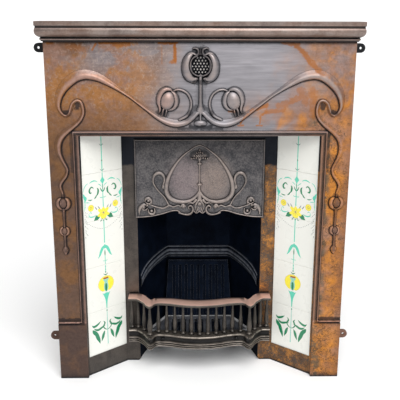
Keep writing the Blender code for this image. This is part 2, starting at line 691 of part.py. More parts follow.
def tiles(root, finish):
    """Ten glazed tiles, five up each cheek, numbered from the bottom."""
    made = []
    along = CHEEK_INNER_MARGIN + TILE_WINDOW / 2
    depth = LIP_THICKNESS + GAP + TILE_THICKNESS / 2
    for side, word in ((-1, "left"), (1, "right")):
        for row in range(TILE_ROWS):
            low = TILES_BOTTOM + row * (TILE_SIZE + TILE_JOINT)
            half = TILE_SIZE / 2
            mesh = box_mesh("tile", (-half, -TILE_THICKNESS / 2, -half),
                            (half, TILE_THICKNESS / 2, half))
            piece = link_mesh(f"tile_{word}_{row + 1}", mesh, root, finish)
            piece.location = cheek_place(side, along, depth, low + half)
            piece.rotation_euler.z = -side * SPLAY
            made.append(piece)
    return made


def hood_outline():
    """The hood's edge: straight top and sides, and a lower edge with two scrolls and a notch."""
    lower = [hood_point(across, up) for across, up in HOOD_LOWER_EDGE]
    points = [(HOOD_WIDTH / 2, HOOD_TOP)] + lower
    return points + [(-x, z) for x, z in reversed(points[:-1])]


def inset(outline, distance):
    """The same closed outline moved inwards, with mitred corners."""
    area = sum(a[0] * b[1] - b[0] * a[1] for a, b in zip(outline, outline[1:] + outline[:1]))
    turn = 1 if area > 0 else -1
    made = []
    count = len(outline)
    for i, point in enumerate(outline):
        before = Vector(outline[i - 1])
        after = Vector(outline[(i + 1) % count])
        here = Vector(point)
        first = (here - before).normalized()
        second = (after - here).normalized()
        normal = Vector((-first.y - second.y, first.x + second.x)) * turn
        normal.normalize()
        share = abs(normal.dot(Vector((-first.y, first.x)) * turn))
        made.append(tuple(here + normal * distance / max(share, 0.7)))
    return made


def hood_point(across, up):
    """A place on the hood from shares of its half width, measured up from its corners."""
    unit = HOOD_WIDTH / 2000
    return across * unit, HOOD_CORNER + up * unit


def hood_keys(points):
    """Strip keys on the hood from shares of its half width."""
    unit = HOOD_WIDTH / 2000
    return [(*hood_point(x, z), w * unit, h * unit) for x, z, w, h in points]


# Half of the hood's lower edge and of each raised form on it, in thousandths of its half width.
HOOD_LOWER_EDGE = ((1000, 0), (780, 19), (600, 48), (450, 92), (340, 107), (285, 63), (205, 34),
                   (130, 53), (95, 111), (55, 63), (0, 92))
HOOD_HEART = (
    (-8, 1150, 20, 18), (60, 1126, 20, 18), (146, 1075, 24, 20), (276, 966, 36, 24),
    (398, 814, 52, 28), (486, 640, 68, 32), (518, 490, 76, 34), (494, 372, 76, 34),
    (414, 288, 68, 32), (286, 262, 58, 30), (158, 284, 48, 28), (64, 336, 46, 26),
    (-4, 400, 40, 24),
)
HOOD_CURL = (
    (566, 530, 24, 18), (538, 640, 26, 20), (560, 700, 34, 22), (620, 742, 44, 24),
    (684, 722, 44, 24), (722, 656, 30, 20), (718, 572, 22, 18), (640, 440, 20, 17),
    (548, 330, 20, 17), (476, 200, 24, 17),
)
HOOD_BRANCH = ((300, 182, 26, 14), (350, 206, 18, 14), (416, 178, 22, 15), (476, 190, 26, 17),
               (560, 158, 24, 16), (680, 184, 18, 14), (790, 222, 18, 14))
HOOD_SCROLL_OUTER = ((70, 330, 30, 22), (128, 262, 24, 20), (150, 200, 24, 20),
                     (196, 130, 26, 20), (150, 80, 24, 18))
HOOD_SCROLL_INNER = ((20, 330, 36, 24), (44, 240, 30, 24), (84, 180, 30, 24), (66, 110, 28, 22),
                     (28, 96, 20, 18))


def hood_half_meshes(base_y):
    """One side of the hood's raised forms."""
    unit = HOOD_WIDTH / 2000
    step = 120 * unit
    half = [strip_mesh(f"hood_{word}", hood_keys(keys), base_y, step) for word, keys in (
        ("heart", HOOD_HEART), ("curl", HOOD_CURL), ("branch", HOOD_BRANCH),
        ("scroll_outer", HOOD_SCROLL_OUTER), ("scroll_inner", HOOD_SCROLL_INNER))]
    leaves = ((560, 500, 26, 40, 30), (790, 320, 50, 50, 30), (880, 208, 62, 74, 26),
              (758, 128, 44, 46, 28), (276, 178, 44, 40, 30))
    for number, (x, z, wide, tall, rise) in enumerate(leaves, 1):
        half.append(dome_mesh(f"hood_leaf_{number}", hood_point(x, z), wide * unit, tall * unit,
                              rise * unit, base_y))
    return half


def hood_middle_meshes(base_y):
    """The hood's centre stem with its knots and the umbrella flower on top."""
    unit = HOOD_WIDTH / 2000
    stem = hood_keys(((0, 300, 90, 30), (0, 380, 60, 28), (0, 450, 38, 26), (0, 540, 26, 24),
                      (0, 900, 24, 22), (0, 960, 24, 22)))
    made = [strip_mesh("hood_stem", stem, base_y, 90 * unit)]
    knots = ((0, 536, 48, 26, 34), (0, 872, 44, 24, 32), (0, 1000, 124, 44, 24),
             (0, 1040, 70, 34, 30))
    for number, (x, z, wide, tall, rise) in enumerate(knots, 1):
        made.append(dome_mesh(f"hood_knot_{number}", hood_point(x, z), wide * unit, tall * unit,
                              rise * unit, base_y))
    return made


def hood(root, finish):
    """The canopy plate with its border and relief."""
    outline = hood_outline()
    body = outline_mesh("hood", [outline], HOOD_FACE, HOOD_BACK)
    piece = link_mesh("hood", body, root, finish)
    rim = outline_mesh("hood_border", [inset(outline, GAP), inset(outline, HOOD_BORDER)],
                       HOOD_FACE - HOOD_BORDER_RISE, HOOD_FACE + HOOD_BORDER_RISE)
    add(piece, rim)
    half = hood_half_meshes(HOOD_FACE)
    whole = half + [mirrored(mesh) for mesh in half] + hood_middle_meshes(HOOD_FACE)
    add(piece, fused("hood_relief", whole))
    return piece


def chamber_plan(offset):
    """Half of the chamber's inner plan line from its front edge to the middle, moved outwards."""
    front = Vector((FIRE_WIDTH / 2 + GAP, CHAMBER_FRONT))
    back = Vector((CHAMBER_BACK_WIDTH / 2, CHAMBER_BACK))
    along = (back - front).normalized()
    out = Vector((along.y, -along.x))
    points = []
    steps = 5
    for i in range(steps + 1):
        share = i / steps
        bow = CHAMBER_BOW * 4 * share * (1 - share)
        points.append(front.lerp(back, share) + out * (bow + offset))
    points[0] += along * (CHAMBER_FRONT - points[0].y) / along.y
    points[-1].x += offset * 0.5
    points[-1].y = CHAMBER_BACK + offset
    return [tuple(point) for point in points]


def ridge_mesh(number):
    """One rounded ridge of the band round the inside of the chamber, lower at its front ends."""
    pitch = BAND_HEIGHT / BAND_RIDGES
    low = BAND_BOTTOM + number * pitch
    section = [(CHAMBER_WALL / 2, 0.06), (-BAND_RISE * 0.3, 0.1), (-BAND_RISE, 0.36),
               (-BAND_RISE, 0.62), (-BAND_RISE * 0.3, 0.88), (CHAMBER_WALL / 2, 0.92)]
    plans = {depth: chamber_plan(depth) for depth, _ in section}
    count = len(plans[-BAND_RISE])
    start = 0.3
    rings = []
    stations = [(1, i) for i in range(count)] + [(-1, i) for i in reversed(range(count))]
    for side, i in stations:
        fall = BAND_FALL * (1 - max(i, start) / (count - 1)) ** 1.5
        ring = []
        for depth, up in section:
            place = Vector(plans[depth][i])
            if i == 0:
                place = place.lerp(Vector(plans[depth][1]), start)
            ring.append((side * place.x, place.y, low + up * pitch - fall))
        rings.append(ring)
    return loft_mesh(f"ridge_{number + 1}", rings)


def slab_meshes():
    """The ribbed slab that leans against the back wall, with its lip and round-topped grooves."""
    top = SLAB_TOP / math.cos(SLAB_LEAN)
    foot = (SLAB_THICKNESS + SLAB_LIP) * math.tan(SLAB_LEAN)
    bottom_half = SLAB_BOTTOM_WIDTH / 2
    top_half = SLAB_TOP_WIDTH / 2
    side = SLAB_EDGE
    outline = [(-bottom_half, foot), (bottom_half, foot), (top_half, top), (-top_half, top)]
    core = [(-bottom_half + side, foot + side), (bottom_half - side, foot + side),
            (top_half - side, top - side), (-top_half + side, top - side)]
    pitch = (SLAB_TOP_WIDTH - 2 * SLAB_MARGIN) / SLAB_GROOVES
    radius = pitch * SLAB_GROOVE_SHARE / 2
    holes = []
    for i in range(SLAB_GROOVES):
        x = (i - (SLAB_GROOVES - 1) / 2) * pitch
        holes.append([(x - radius, GRATE_LEVEL), (x + radius, GRATE_LEVEL)]
                     + arc((x, top - SLAB_GROOVE_TOP), radius, 0, 180, 4))
    ribs = outline_mesh("ribs", [outline] + holes, -SLAB_THICKNESS, -OVERLAP)
    lip = box_mesh("slab_lip", (-top_half - side, -SLAB_THICKNESS - SLAB_LIP, top - SLAB_LIP),
                   (top_half + side, -SLAB_LIP / 2, top + side))
    filler = outline_mesh("slab", [core], -SLAB_THICKNESS + SLAB_GROOVE_DEPTH, SLAB_LIP)
    made = []
    lean = Matrix.Translation((0, CHAMBER_BACK - SLAB_TOP * math.tan(SLAB_LEAN), 0))
    lean = lean @ Matrix.Rotation(-SLAB_LEAN, 4, "X")
    for mesh in (filler, ribs, lip):
        mesh.transform(lean)
        made.append(mesh)
    return made


def fireback(root, finish):
    """The three-sided fire chamber with its band and its ribbed slab."""
    inner = chamber_plan(0.0)
    outer = chamber_plan(CHAMBER_WALL)
    plan = inner + [(-x, y) for x, y in reversed(inner)]
    plan += [(-x, y) for x, y in outer] + outer[::-1]
    body = outline_mesh("fireback", [plan], 0, CHAMBER_HEIGHT, upright=False)
    piece = link_mesh("fireback", body, root, finish)
    ridges = [ridge_mesh(number) for number in range(BAND_RIDGES)]
    add(piece, fused("chamber_forms", ridges + slab_meshes()))
    return piece


def bottom_grate(root, finish):
    """The slotted grate, cut to the chamber's plan."""
    front = GRATE_FRONT
    back = GRATE_BACK
    back_half = SLAB_BOTTOM_WIDTH / 2 - GRATE_CLEARANCE
    chamber_y = CHAMBER_FRONT + GRATE_CLEARANCE
    wide_half = FIRE_WIDTH / 2 - GRATE_SIDE_CLEARANCE
    front_half = wide_half - GRATE_NECK
    outline = [(front_half, front), (front_half, chamber_y),
               (wide_half, chamber_y + GRATE_SHOULDER), (back_half, back)]
    outline += [(-x, y) for x, y in reversed(outline)]
    slots = []
    count = int((2 * back_half - 2 * GRATE_RIM) / GRATE_PITCH) + 1
    for i in range(count):
        x = (i - (count - 1) / 2) * GRATE_PITCH
        half = GRATE_SLOT / 2
        low = front + GRATE_RIM + half
        high = back - GRATE_RIM - half
        slots.append(arc((x, low), half, 180, 360, 2) + arc((x, high), half, 0, 180, 2))
    mesh = outline_mesh("bottom_grate", [outline] + slots, GRATE_LEVEL - GRATE_THICKNESS,
                        GRATE_LEVEL, upright=False)
    return link_mesh("bottom_grate", mesh, root, finish)


def rail_stations():
    """Pairs of plan points along the bars' front: the outer edge and the edge behind it.

    The front swells out at each corner to a cusp and bows gently between them.
    """
    scale = RAIL_END / RAIL_PLAN[0][0]
    half = []
    for outer_x, out, inner_x, inner_out in RAIL_PLAN:
        half.append(((outer_x * scale, STILE_Y - out), (inner_x * scale, STILE_Y - inner_out)))
    return half + [((-f[0], f[1]), (-b[0], b[1])) for f, b in reversed(half[:-1])]


def rail_mesh(name, section):
    """A rail along the plan from a section of (share from outer to inner edge, height)."""
    rings = []
    for outer, inner in rail_stations():
        rings.append([(outer[0] + (inner[0] - outer[0]) * share,
                       outer[1] + (inner[1] - outer[1]) * share, z) for share, z in section])
    return loft_mesh(name, rings)


def cusp_place():
    """How far across the rails' cusps stand, where the two stout bars are."""
    return RAIL_PLAN[RAIL_CUSP][0] * RAIL_END / RAIL_PLAN[0][0]


def bar_places():
    """Where the bars stand: evenly between the cusps, one at each cusp, and more by each end."""
    line = []
    for outer, inner in rail_stations():
        line.append(Vector(outer).lerp(Vector(inner), BAR_LINE))
    places = []
    cusp = cusp_place()
    for i in range(BARS_IN_FRONT):
        places.append(-cusp + 2 * cusp * i / (BARS_IN_FRONT - 1))
    step = (RAIL_END - BAR_END_MARGIN - cusp) / BARS_AT_END
    places += [side * (cusp + step * (k + 1)) for side in (-1, 1) for k in range(BARS_AT_END)]
    made = []
    for x in places:
        for near, far in zip(line, line[1:]):
            if far.x <= x <= near.x:
                share = (near.x - x) / (near.x - far.x)
                made.append(near.lerp(far, share))
                break
    return made


def bar_mesh(place, stout):
    """One bar: a bead at its foot, a full belly and a slim neck."""
    low = LOWER_RAIL_TOP - OVERLAP
    high = RAIL_TOP - RAIL_THICKNESS + OVERLAP
    radius = BAR_RADIUS * stout
    profile = []
    for share, wide in BAR_PROFILE:
        profile.append((radius * wide, low + (high - low) * share))
    profile = [(0.0, high)] + profile[::-1] + [(0.0, low)]
    mesh = turned_mesh("bar", profile, BAR_SIDES)
    mesh.transform(Matrix.Translation((place.x, place.y, 0)))
    return mesh


def front_bars(root, finish):
    """Top rail, bars and lower rail with its mouldings, in one casting."""
    low = RAIL_TOP - RAIL_THICKNESS
    top = [(0.05, low), (0.0, low + 0.003), (0.01, RAIL_TOP - 0.0025), (0.07, RAIL_TOP),
           (0.93, RAIL_TOP), (1.0, RAIL_TOP - 0.0025), (0.99, low)]
    foot = LOWER_RAIL_BOTTOM
    tall = LOWER_RAIL_TOP - foot
    base = [(0.04, LOWER_RAIL_TOP)] + [(share, foot + tall * up) for share, up in LOWER_PROFILE]
    base += [(0.36, foot), (0.80, LOWER_RAIL_TOP - 0.010), (0.80, LOWER_RAIL_TOP)]
    meshes = [rail_mesh("top_rail", top), rail_mesh("lower_rail", base)]
    for place in bar_places():
        corner = abs(abs(place.x) - cusp_place()) < BAR_RADIUS
        meshes.append(bar_mesh(place, CORNER_BAR_SHARE if corner else 1.0))
    return link_mesh("front_bars", fused("front_bars", meshes), root, finish)


def build():
    """Make every piece."""
    clear_scene()
    root = bpy.data.objects.new("fireplace_root", None)
    bpy.data.collections["fireplace_surround"].objects.link(root)
    root.location.y = GROUP_Y
    iron = material("patinated_iron", (0.30, 0.19, 0.14), 0.42, 0.75)
    dark = material("dark_iron", (0.07, 0.065, 0.06), 0.5, 0.7)
    black = material("stove_black", (0.02, 0.022, 0.03), 0.45, 0.5)
    glaze = material("cream_glaze", (0.86, 0.86, 0.80), 0.12, 0.0)
    surround_front(root, iron)
    mantel_shelf(root, iron)
    insert_frame(root, dark)
    tiles(root, glaze)
    hood(root, dark)
    front_bars(root, dark)
    fireback(root, black)
    bottom_grate(root, black)


if __name__ == "__main__":
    build()
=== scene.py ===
"""Dress a cast-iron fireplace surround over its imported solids.

Metres, +Z up, the room at -Y. Tables of ornament are in millimetres: across from the middle, up from
the floor. The castings, the raised stems, the turned bars and the painted tiles are modelled here;
the plain castings are finer copies of their solids.
"""

import logging
import math
from collections.abc import Callable
from dataclasses import dataclass
from enum import Enum

import bpy
from mathutils import Matrix, Vector
from mathutils.geometry import delaunay_2d_cdt


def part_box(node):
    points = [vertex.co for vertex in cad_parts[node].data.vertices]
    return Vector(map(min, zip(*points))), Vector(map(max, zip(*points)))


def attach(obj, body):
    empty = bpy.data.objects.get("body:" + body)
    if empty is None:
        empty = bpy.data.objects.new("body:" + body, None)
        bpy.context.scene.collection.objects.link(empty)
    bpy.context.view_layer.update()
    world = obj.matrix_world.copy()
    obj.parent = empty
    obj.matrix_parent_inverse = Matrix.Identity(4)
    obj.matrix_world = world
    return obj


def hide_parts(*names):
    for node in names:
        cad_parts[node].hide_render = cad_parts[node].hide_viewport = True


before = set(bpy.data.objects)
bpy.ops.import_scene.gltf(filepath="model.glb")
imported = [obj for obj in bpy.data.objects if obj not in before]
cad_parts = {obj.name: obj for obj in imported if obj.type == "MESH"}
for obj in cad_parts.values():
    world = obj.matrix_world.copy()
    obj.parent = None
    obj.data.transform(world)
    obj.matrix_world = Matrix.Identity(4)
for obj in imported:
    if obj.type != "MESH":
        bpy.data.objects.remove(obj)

LOG = logging.getLogger("fireplace")
MM = 0.001
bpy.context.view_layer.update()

# Planes and edges of the castings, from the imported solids
RETURN_DEPTH = 0.065
PLINTH_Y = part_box("surround_front")[1].y - RETURN_DEPTH
FIELD_DEPTH = 0.006
FIELD_Y = PLINTH_Y + FIELD_DEPTH
BODY_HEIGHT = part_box("surround_front")[1].z
SHELF_SIDE = 0.016
BODY_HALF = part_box("mantel_shelf")[1].x - SHELF_SIDE
FRAME_OUTER = 0.380
FRAME_TOP = 0.8127
FRAME_FOOT = 0.2005
SPLAY = math.radians(41.1)
STILE_DEPTH = 0.11847
STILE_Y = PLINTH_Y + STILE_DEPTH
STILE_OUTER = 0.2435
CHAMBER_SET_BACK = 0.12877
CHAMBER_FRONT = PLINTH_Y + CHAMBER_SET_BACK
HOOD_THICKNESS = 0.0075
HOOD_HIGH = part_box("hood")[1]
HOOD_FACE = HOOD_HIGH.y - HOOD_THICKNESS
SHELF_LOW, SHELF_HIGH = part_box("mantel_shelf")

# How far a raised stem or ball reaches behind its face before it is cut off
BURIED = 0.002
# The middle of a socket that holds a place
NOWHERE = (0.0, 0.0, 0.0)

Key = tuple[float, ...]
Piece = bpy.types.Object
Socket = bpy.types.NodeSocket
Value = Socket | float | Key


def linear(red: int, green: int, blue: int) -> Key:
    """Turn a colour as seen on a screen, 0 to 255, into the shader's linear values."""
    seen = (part / 255 for part in (red, green, blue))
    return (*(s / 12.92 if s <= 0.04045 else ((s + 0.055) / 1.055) ** 2.4 for s in seen), 1.0)


class Bench:
    """Modelling steps done to one object at a time."""

    @staticmethod
    def pick(*pieces: Piece) -> None:
        """Select these pieces alone, the first of them active.

        Args:
            *pieces: The pieces.
        """
        if bpy.context.mode != "OBJECT":
            bpy.ops.object.mode_set(mode="OBJECT")
        bpy.ops.object.select_all(action="DESELECT")
        for piece in pieces:
            piece.select_set(True)
        bpy.context.view_layer.objects.active = pieces[0]

    @staticmethod
    def named(name: str) -> Piece:
        """Name the primitive that was just added, mesh and all.

        Args:
            name: The new name.

        Returns:
            The primitive.
        """
        piece = bpy.context.object
        piece.name = piece.data.name = name
        return piece

    @staticmethod
    def settle(piece: Piece) -> Piece:
        """Put the object's place, turn and size into its mesh.

        Args:
            piece: The object.

        Returns:
            The same object.
        """
        Bench.pick(piece)
        bpy.ops.object.transform_apply(location=True, rotation=True, scale=True)
        return piece

    @staticmethod
    def place(name: str, data: bpy.types.ID) -> Piece:
        """Add an object to the scene.

        Args:
            name: Its name.
            data: Its mesh, lamp or camera.

        Returns:
            The object.
        """
        piece = bpy.data.objects.new(name, data)
        bpy.context.scene.collection.objects.link(piece)
        return piece

    @staticmethod
    def adopt(name: str, points: list, faces: list, worn: list | None = None) -> Piece:
        """Make an object from points and faces.

        Args:
            name: The piece's name.
            points: The vertices.
            faces: The faces, as runs of vertex numbers.
            worn: How polished each vertex is, from 0 to 1, some of it painted highlight, below 0 where
                painted shade and dirt lie.

        Returns:
            The new object, faces pointing outwards.
        """
        mesh = bpy.data.meshes.new(name)
        mesh.from_pydata(points, [], faces)
        if worn:
            mesh.attributes.new("worn", "FLOAT", "POINT").data.foreach_set("value", worn)
        piece = Bench.place(name, mesh)
        Bench.outward(piece)
        return piece

    @staticmethod
    def loft(name: str, rings: list, worn: list | None = None, closed: bool = False) -> Piece:
        """Skin a run of rings of points.

        Args:
            name: The piece's name.
            rings: The rings, each with as many points.
            worn: How polished each point is, as in adopt.
            closed: True to join the last ring to the first, False to cap both.

        Returns:
            The new object.
        """
        count, size = len(rings), len(rings[0])
        faces = []
        for i in range(count if closed else count - 1):
            near, far = i * size, (i + 1) % count * size
            for k in range(size):
                j = (k + 1) % size
                faces.append((near + k, near + j, far + j, far + k))
        if not closed:
            faces += [tuple(range(size)), tuple(range((count - 1) * size, count * size))]
        return Bench.adopt(name, [point for ring in rings for point in ring], faces, worn)

    @staticmethod
    def edit(piece: Piece, *steps: Callable[[], object]) -> None:
        """Take edit-mode steps on the whole of a piece.

        Args:
            piece: The piece.
            steps: The operators to call, in order.
        """
        Bench.pick(piece)
        bpy.ops.object.mode_set(mode="EDIT")
        bpy.ops.mesh.select_all(action="SELECT")
        for step in steps:
            step()
        bpy.ops.object.mode_set(mode="OBJECT")

    @staticmethod
    def outward(piece: Piece, merge: float = 0.0) -> None:
        """Turn every face outwards.

        Args:
            piece: The piece.
            merge: How near two points are that are merged first, or nought.
        """
        if merge:
            Bench.edit(piece, lambda: bpy.ops.mesh.remove_doubles(threshold=merge))
        Bench.edit(piece, lambda: bpy.ops.mesh.normals_make_consistent(inside=False))

    @staticmethod
    def join(name: str, pieces: list[Piece]) -> Piece:
        """Join pieces into one object of this name.

        Args:
            name: The joined object's name.
            pieces: The pieces, which are used up.

        Returns:
            The joined object.
        """
        Bench.pick(*pieces)
        if len(pieces) > 1:
            bpy.ops.object.join()
        return Bench.named(name)

    @staticmethod
    def apply(piece: Piece, kind: str, **settings: object) -> None:
        """Add a modifier with its settings and apply it.

        Args:
            piece: The object.
            kind: The modifier's kind.
            **settings: Values for the modifier's own fields.
        """
        Bench.pick(piece)
        step = piece.modifiers.new(kind.lower(), kind)
        for word, value in settings.items():
            setattr(step, word, value)
        bpy.ops.object.modifier_apply(modifier=step.name)

    @staticmethod
    def both_sides(piece: Piece) -> Piece:
        """Mirror a right-hand piece to the left across X = 0."""
        Bench.apply(piece, "MIRROR", use_axis=(True, False, False), use_mirror_merge=False)
        return piece

    @staticmethod
    def soften(piece: Piece, width: float, angle: float = 35.0, steps: int = 2) -> None:
        """Round the edges sharper than an angle."""
        Bench.apply(piece, "BEVEL", width=width, segments=steps, limit_method="ANGLE",
                    angle_limit=math.radians(angle), harden_normals=False)

    @staticmethod
    def shade(piece: Piece, angle: float = 40.0) -> None:
        """Shade smooth up to an angle."""
        Bench.pick(piece)
        bpy.ops.object.shade_smooth_by_angle(angle=math.radians(angle))

    @staticmethod
    def choose_faces(piece: Piece, numbers: list[int]) -> None:
        """Go into edit mode with just these faces selected.

        Args:
            piece: The object.
            numbers: The faces' numbers.
        """
        Bench.pick(piece)
        bpy.ops.object.mode_set(mode="EDIT")
        bpy.ops.mesh.select_mode(type="FACE")
        bpy.ops.mesh.select_all(action="DESELECT")
        bpy.ops.object.mode_set(mode="OBJECT")
        for number in numbers:
            piece.data.polygons[number].select = True
        bpy.ops.object.mode_set(mode="EDIT")

    @staticmethod
    def slice_behind(piece: Piece, y: float) -> None:
        """Cut off and close whatever lies behind a plane of this Y."""
        Bench.edit(piece, lambda: bpy.ops.mesh.bisect(
            plane_co=(0, y, 0), plane_no=(0, 1, 0), clear_outer=True, use_fill=True))

    @staticmethod
    def copy_solid(node: str, name: str) -> Piece:
        """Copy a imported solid, with its points merged.

        Args:
            node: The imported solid's name.
            name: The copy's name.

        Returns:
            The copy, an object of its own.
        """
        piece = Bench.place(name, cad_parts[node].data.copy())
        piece.data.materials.clear()
        Bench.outward(piece, merge=2e-6)
        return piece

    @staticmethod
    def whole_faces(piece: Piece) -> None:
        """Make each flat face one face again."""
        Bench.edit(piece, lambda: bpy.ops.mesh.dissolve_limited(angle_limit=math.radians(0.6)))

    @staticmethod
    def hand_in(piece: Piece, finish: bpy.types.Material, slot: str, *nodes: str) -> None:
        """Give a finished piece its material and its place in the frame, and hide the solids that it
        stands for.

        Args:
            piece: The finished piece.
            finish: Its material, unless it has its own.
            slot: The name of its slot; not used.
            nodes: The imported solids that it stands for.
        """
        if not piece.data.materials:
            piece.data.materials.append(finish)
        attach(piece, "root")
        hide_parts(*nodes)
        LOG.info("%s: %d faces", piece.name, len(piece.data.polygons))


def smooth_path(keys: list[Key], step: float) -> list[Key]:
    """Points on a smooth curve through keys of any size.

    Args:
        keys: Places to pass through, the first two values being the place.
        step: About how far apart the points are.

    Returns:
        The points, each as long as a key.
    """
    first = tuple(2 * a - b for a, b in zip(keys[0], keys[1]))
    last = tuple(2 * a - b for a, b in zip(keys[-1], keys[-2]))
    run = [first, *keys, last]
    path = []
    for p0, p1, p2, p3 in zip(run, run[1:], run[2:], run[3:]):
        count = max(1, round(math.dist(p1[:2], p2[:2]) / step))
        for k in range(count):
            t = k / count
            path.append(tuple(
                0.5 * (2 * b + (c - a) * t + (2 * a - 5 * b + 4 * c - d) * t * t
                       + (3 * b - a - 3 * c + d) * t ** 3)
                for a, b, c, d in zip(p0, p1, p2, p3)))
    path.append(tuple(keys[-1]))
    return path


@dataclass(frozen=True)
class Stem:
    """A raised stem on an upright face, its width and rise changing along it.

    Keys are across, up, width and rise in millimetres. The soft shares say how gently each side,
    left and right of the way it runs, sinks into the face. A bevelled curve can't change its width
    and its rise apart, so the section is carried along the path here.
    """

    keys: tuple[Key, ...]
    soft_left: float = 0.0
    soft_right: float = 0.0
    step: float = 2.2
    around: int = 12
    shine: float = 1.0

    def height(self, share: float) -> float:
        """How high the section stands at a place across it, from -1 to 1.

        Args:
            share: The place across the section.

        Returns:
            The height as a share of the section's whole height.
        """
        crest = 0.45 * (self.soft_left - self.soft_right)
        left = share < crest
        away = (crest - share) / (1 + crest) if left else (share - crest) / (1 - crest)
        soft = self.soft_left if left else self.soft_right
        crisp = math.sqrt(max(0.0, 1 - away * away)) ** 0.85
        gentle = 0.5 + 0.5 * math.cos(math.pi * away)
        return crisp * (1 - soft) + gentle * soft

    def build(self, name: str, face_y: float, sink: float = 1.2) -> Piece:
        """Sweep the stem.

        Args:
            name: The piece's name.
            face_y: The face that it lies on, in metres.
            sink: How far its foot runs into the face, in millimetres.

        Returns:
            One closed object.
        """
        path = smooth_path(list(self.keys), self.step)
        path = [(x, z, max(w, 0.4), max(r, 0.2)) for x, z, w, r in path]
        path = self.round_end(path[::-1])[::-1]
        path = self.round_end(path)
        shares = [-math.cos(math.pi * i / self.around) for i in range(self.around + 1)]
        rings, worn = [], []
        for i, (x, z, width, rise) in enumerate(path):
            before, after = path[max(i - 1, 0)], path[min(i + 1, len(path) - 1)]
            along = Vector((after[0] - before[0], after[1] - before[1]))
            along = along.normalized() if along.length > 1e-6 else Vector((1, 0))
            side = Vector((along.y, -along.x))
            section = [(-1.0, -sink)] + [(s, rise * self.height(s)) for s in shares] + [(1.0, -sink)]
            spots = [(share * width / 2, high) for share, high in section]
            rings.append([((x + side.x * reach) * MM, face_y - high * MM, (z + side.y * reach) * MM)
                          for reach, high in spots])
            for share, high in section:
                soft = self.soft_left if share < 0 else self.soft_right
                # At the feet of crisp sides the mark drops below nought: painted shade and dirt where
                # the stem meets the face
                foot = -0.8 * (1 - soft) if abs(share) > 0.94 else 0.0
                worn.append(max(foot, self.shine * min(1.0, (high / rise - 0.72) / 0.26)))
        return Bench.loft(name, rings, worn)

    @staticmethod
    def round_end(path: list[Key]) -> list[Key]:
        """Add a rounded nose beyond the last point of a path.

        Args:
            path: The path's points with their sizes.

        Returns:
            The path with the nose added.
        """
        x, z, width, rise = path[-1]
        along = Vector((x - path[-2][0], z - path[-2][1])).normalized()
        nose = list(path)
        for turn in (30, 55, 75, 88):
            ahead = math.sin(math.radians(turn)) * width / 2
            left = math.cos(math.radians(turn))
            nose.append((x + along.x * ahead, z + along.y * ahead, width * left, rise * left))
        return nose


@dataclass(frozen=True)
class Boss:
    """A raised oval, in millimetres: across, up, half width, half height, rise, and a turn."""

    across: float
    up: float
    wide: float
    tall: float
    rise: float
    turn: float = 0.0
    sides: int = 24
    polish: float = 0.55
    shine: float = 1.0

    def build(self, name: str, face_y: float) -> Piece:
        """Add a ball at the face, squeezed to the oval's three sizes; it is cut off behind the face
        later, with the raised work.

        Args:
            name: The piece's name.
            face_y: Where the face lies.

        Returns:
            The ball.
        """
        bpy.ops.mesh.primitive_uv_sphere_add(
            segments=self.sides, ring_count=self.sides // 2, radius=1.0,
            location=(self.across * MM, face_y, self.up * MM),
        )
        piece = Bench.named(name)
        Bench.pick(piece)
        piece.rotation_euler = (0, math.radians(self.turn), 0)
        piece.scale = (self.wide * MM, self.rise * MM, self.tall * MM)
        Bench.settle(piece)
        worn = piece.data.attributes.new("worn", "FLOAT", "POINT")
        for point, mark in zip(piece.data.vertices, worn.data):
            share = (face_y - point.co.y) / (self.rise * MM)
            mark.value = min(1.0, max(0.0, (share - self.polish) / 0.4)) * self.shine
        return piece


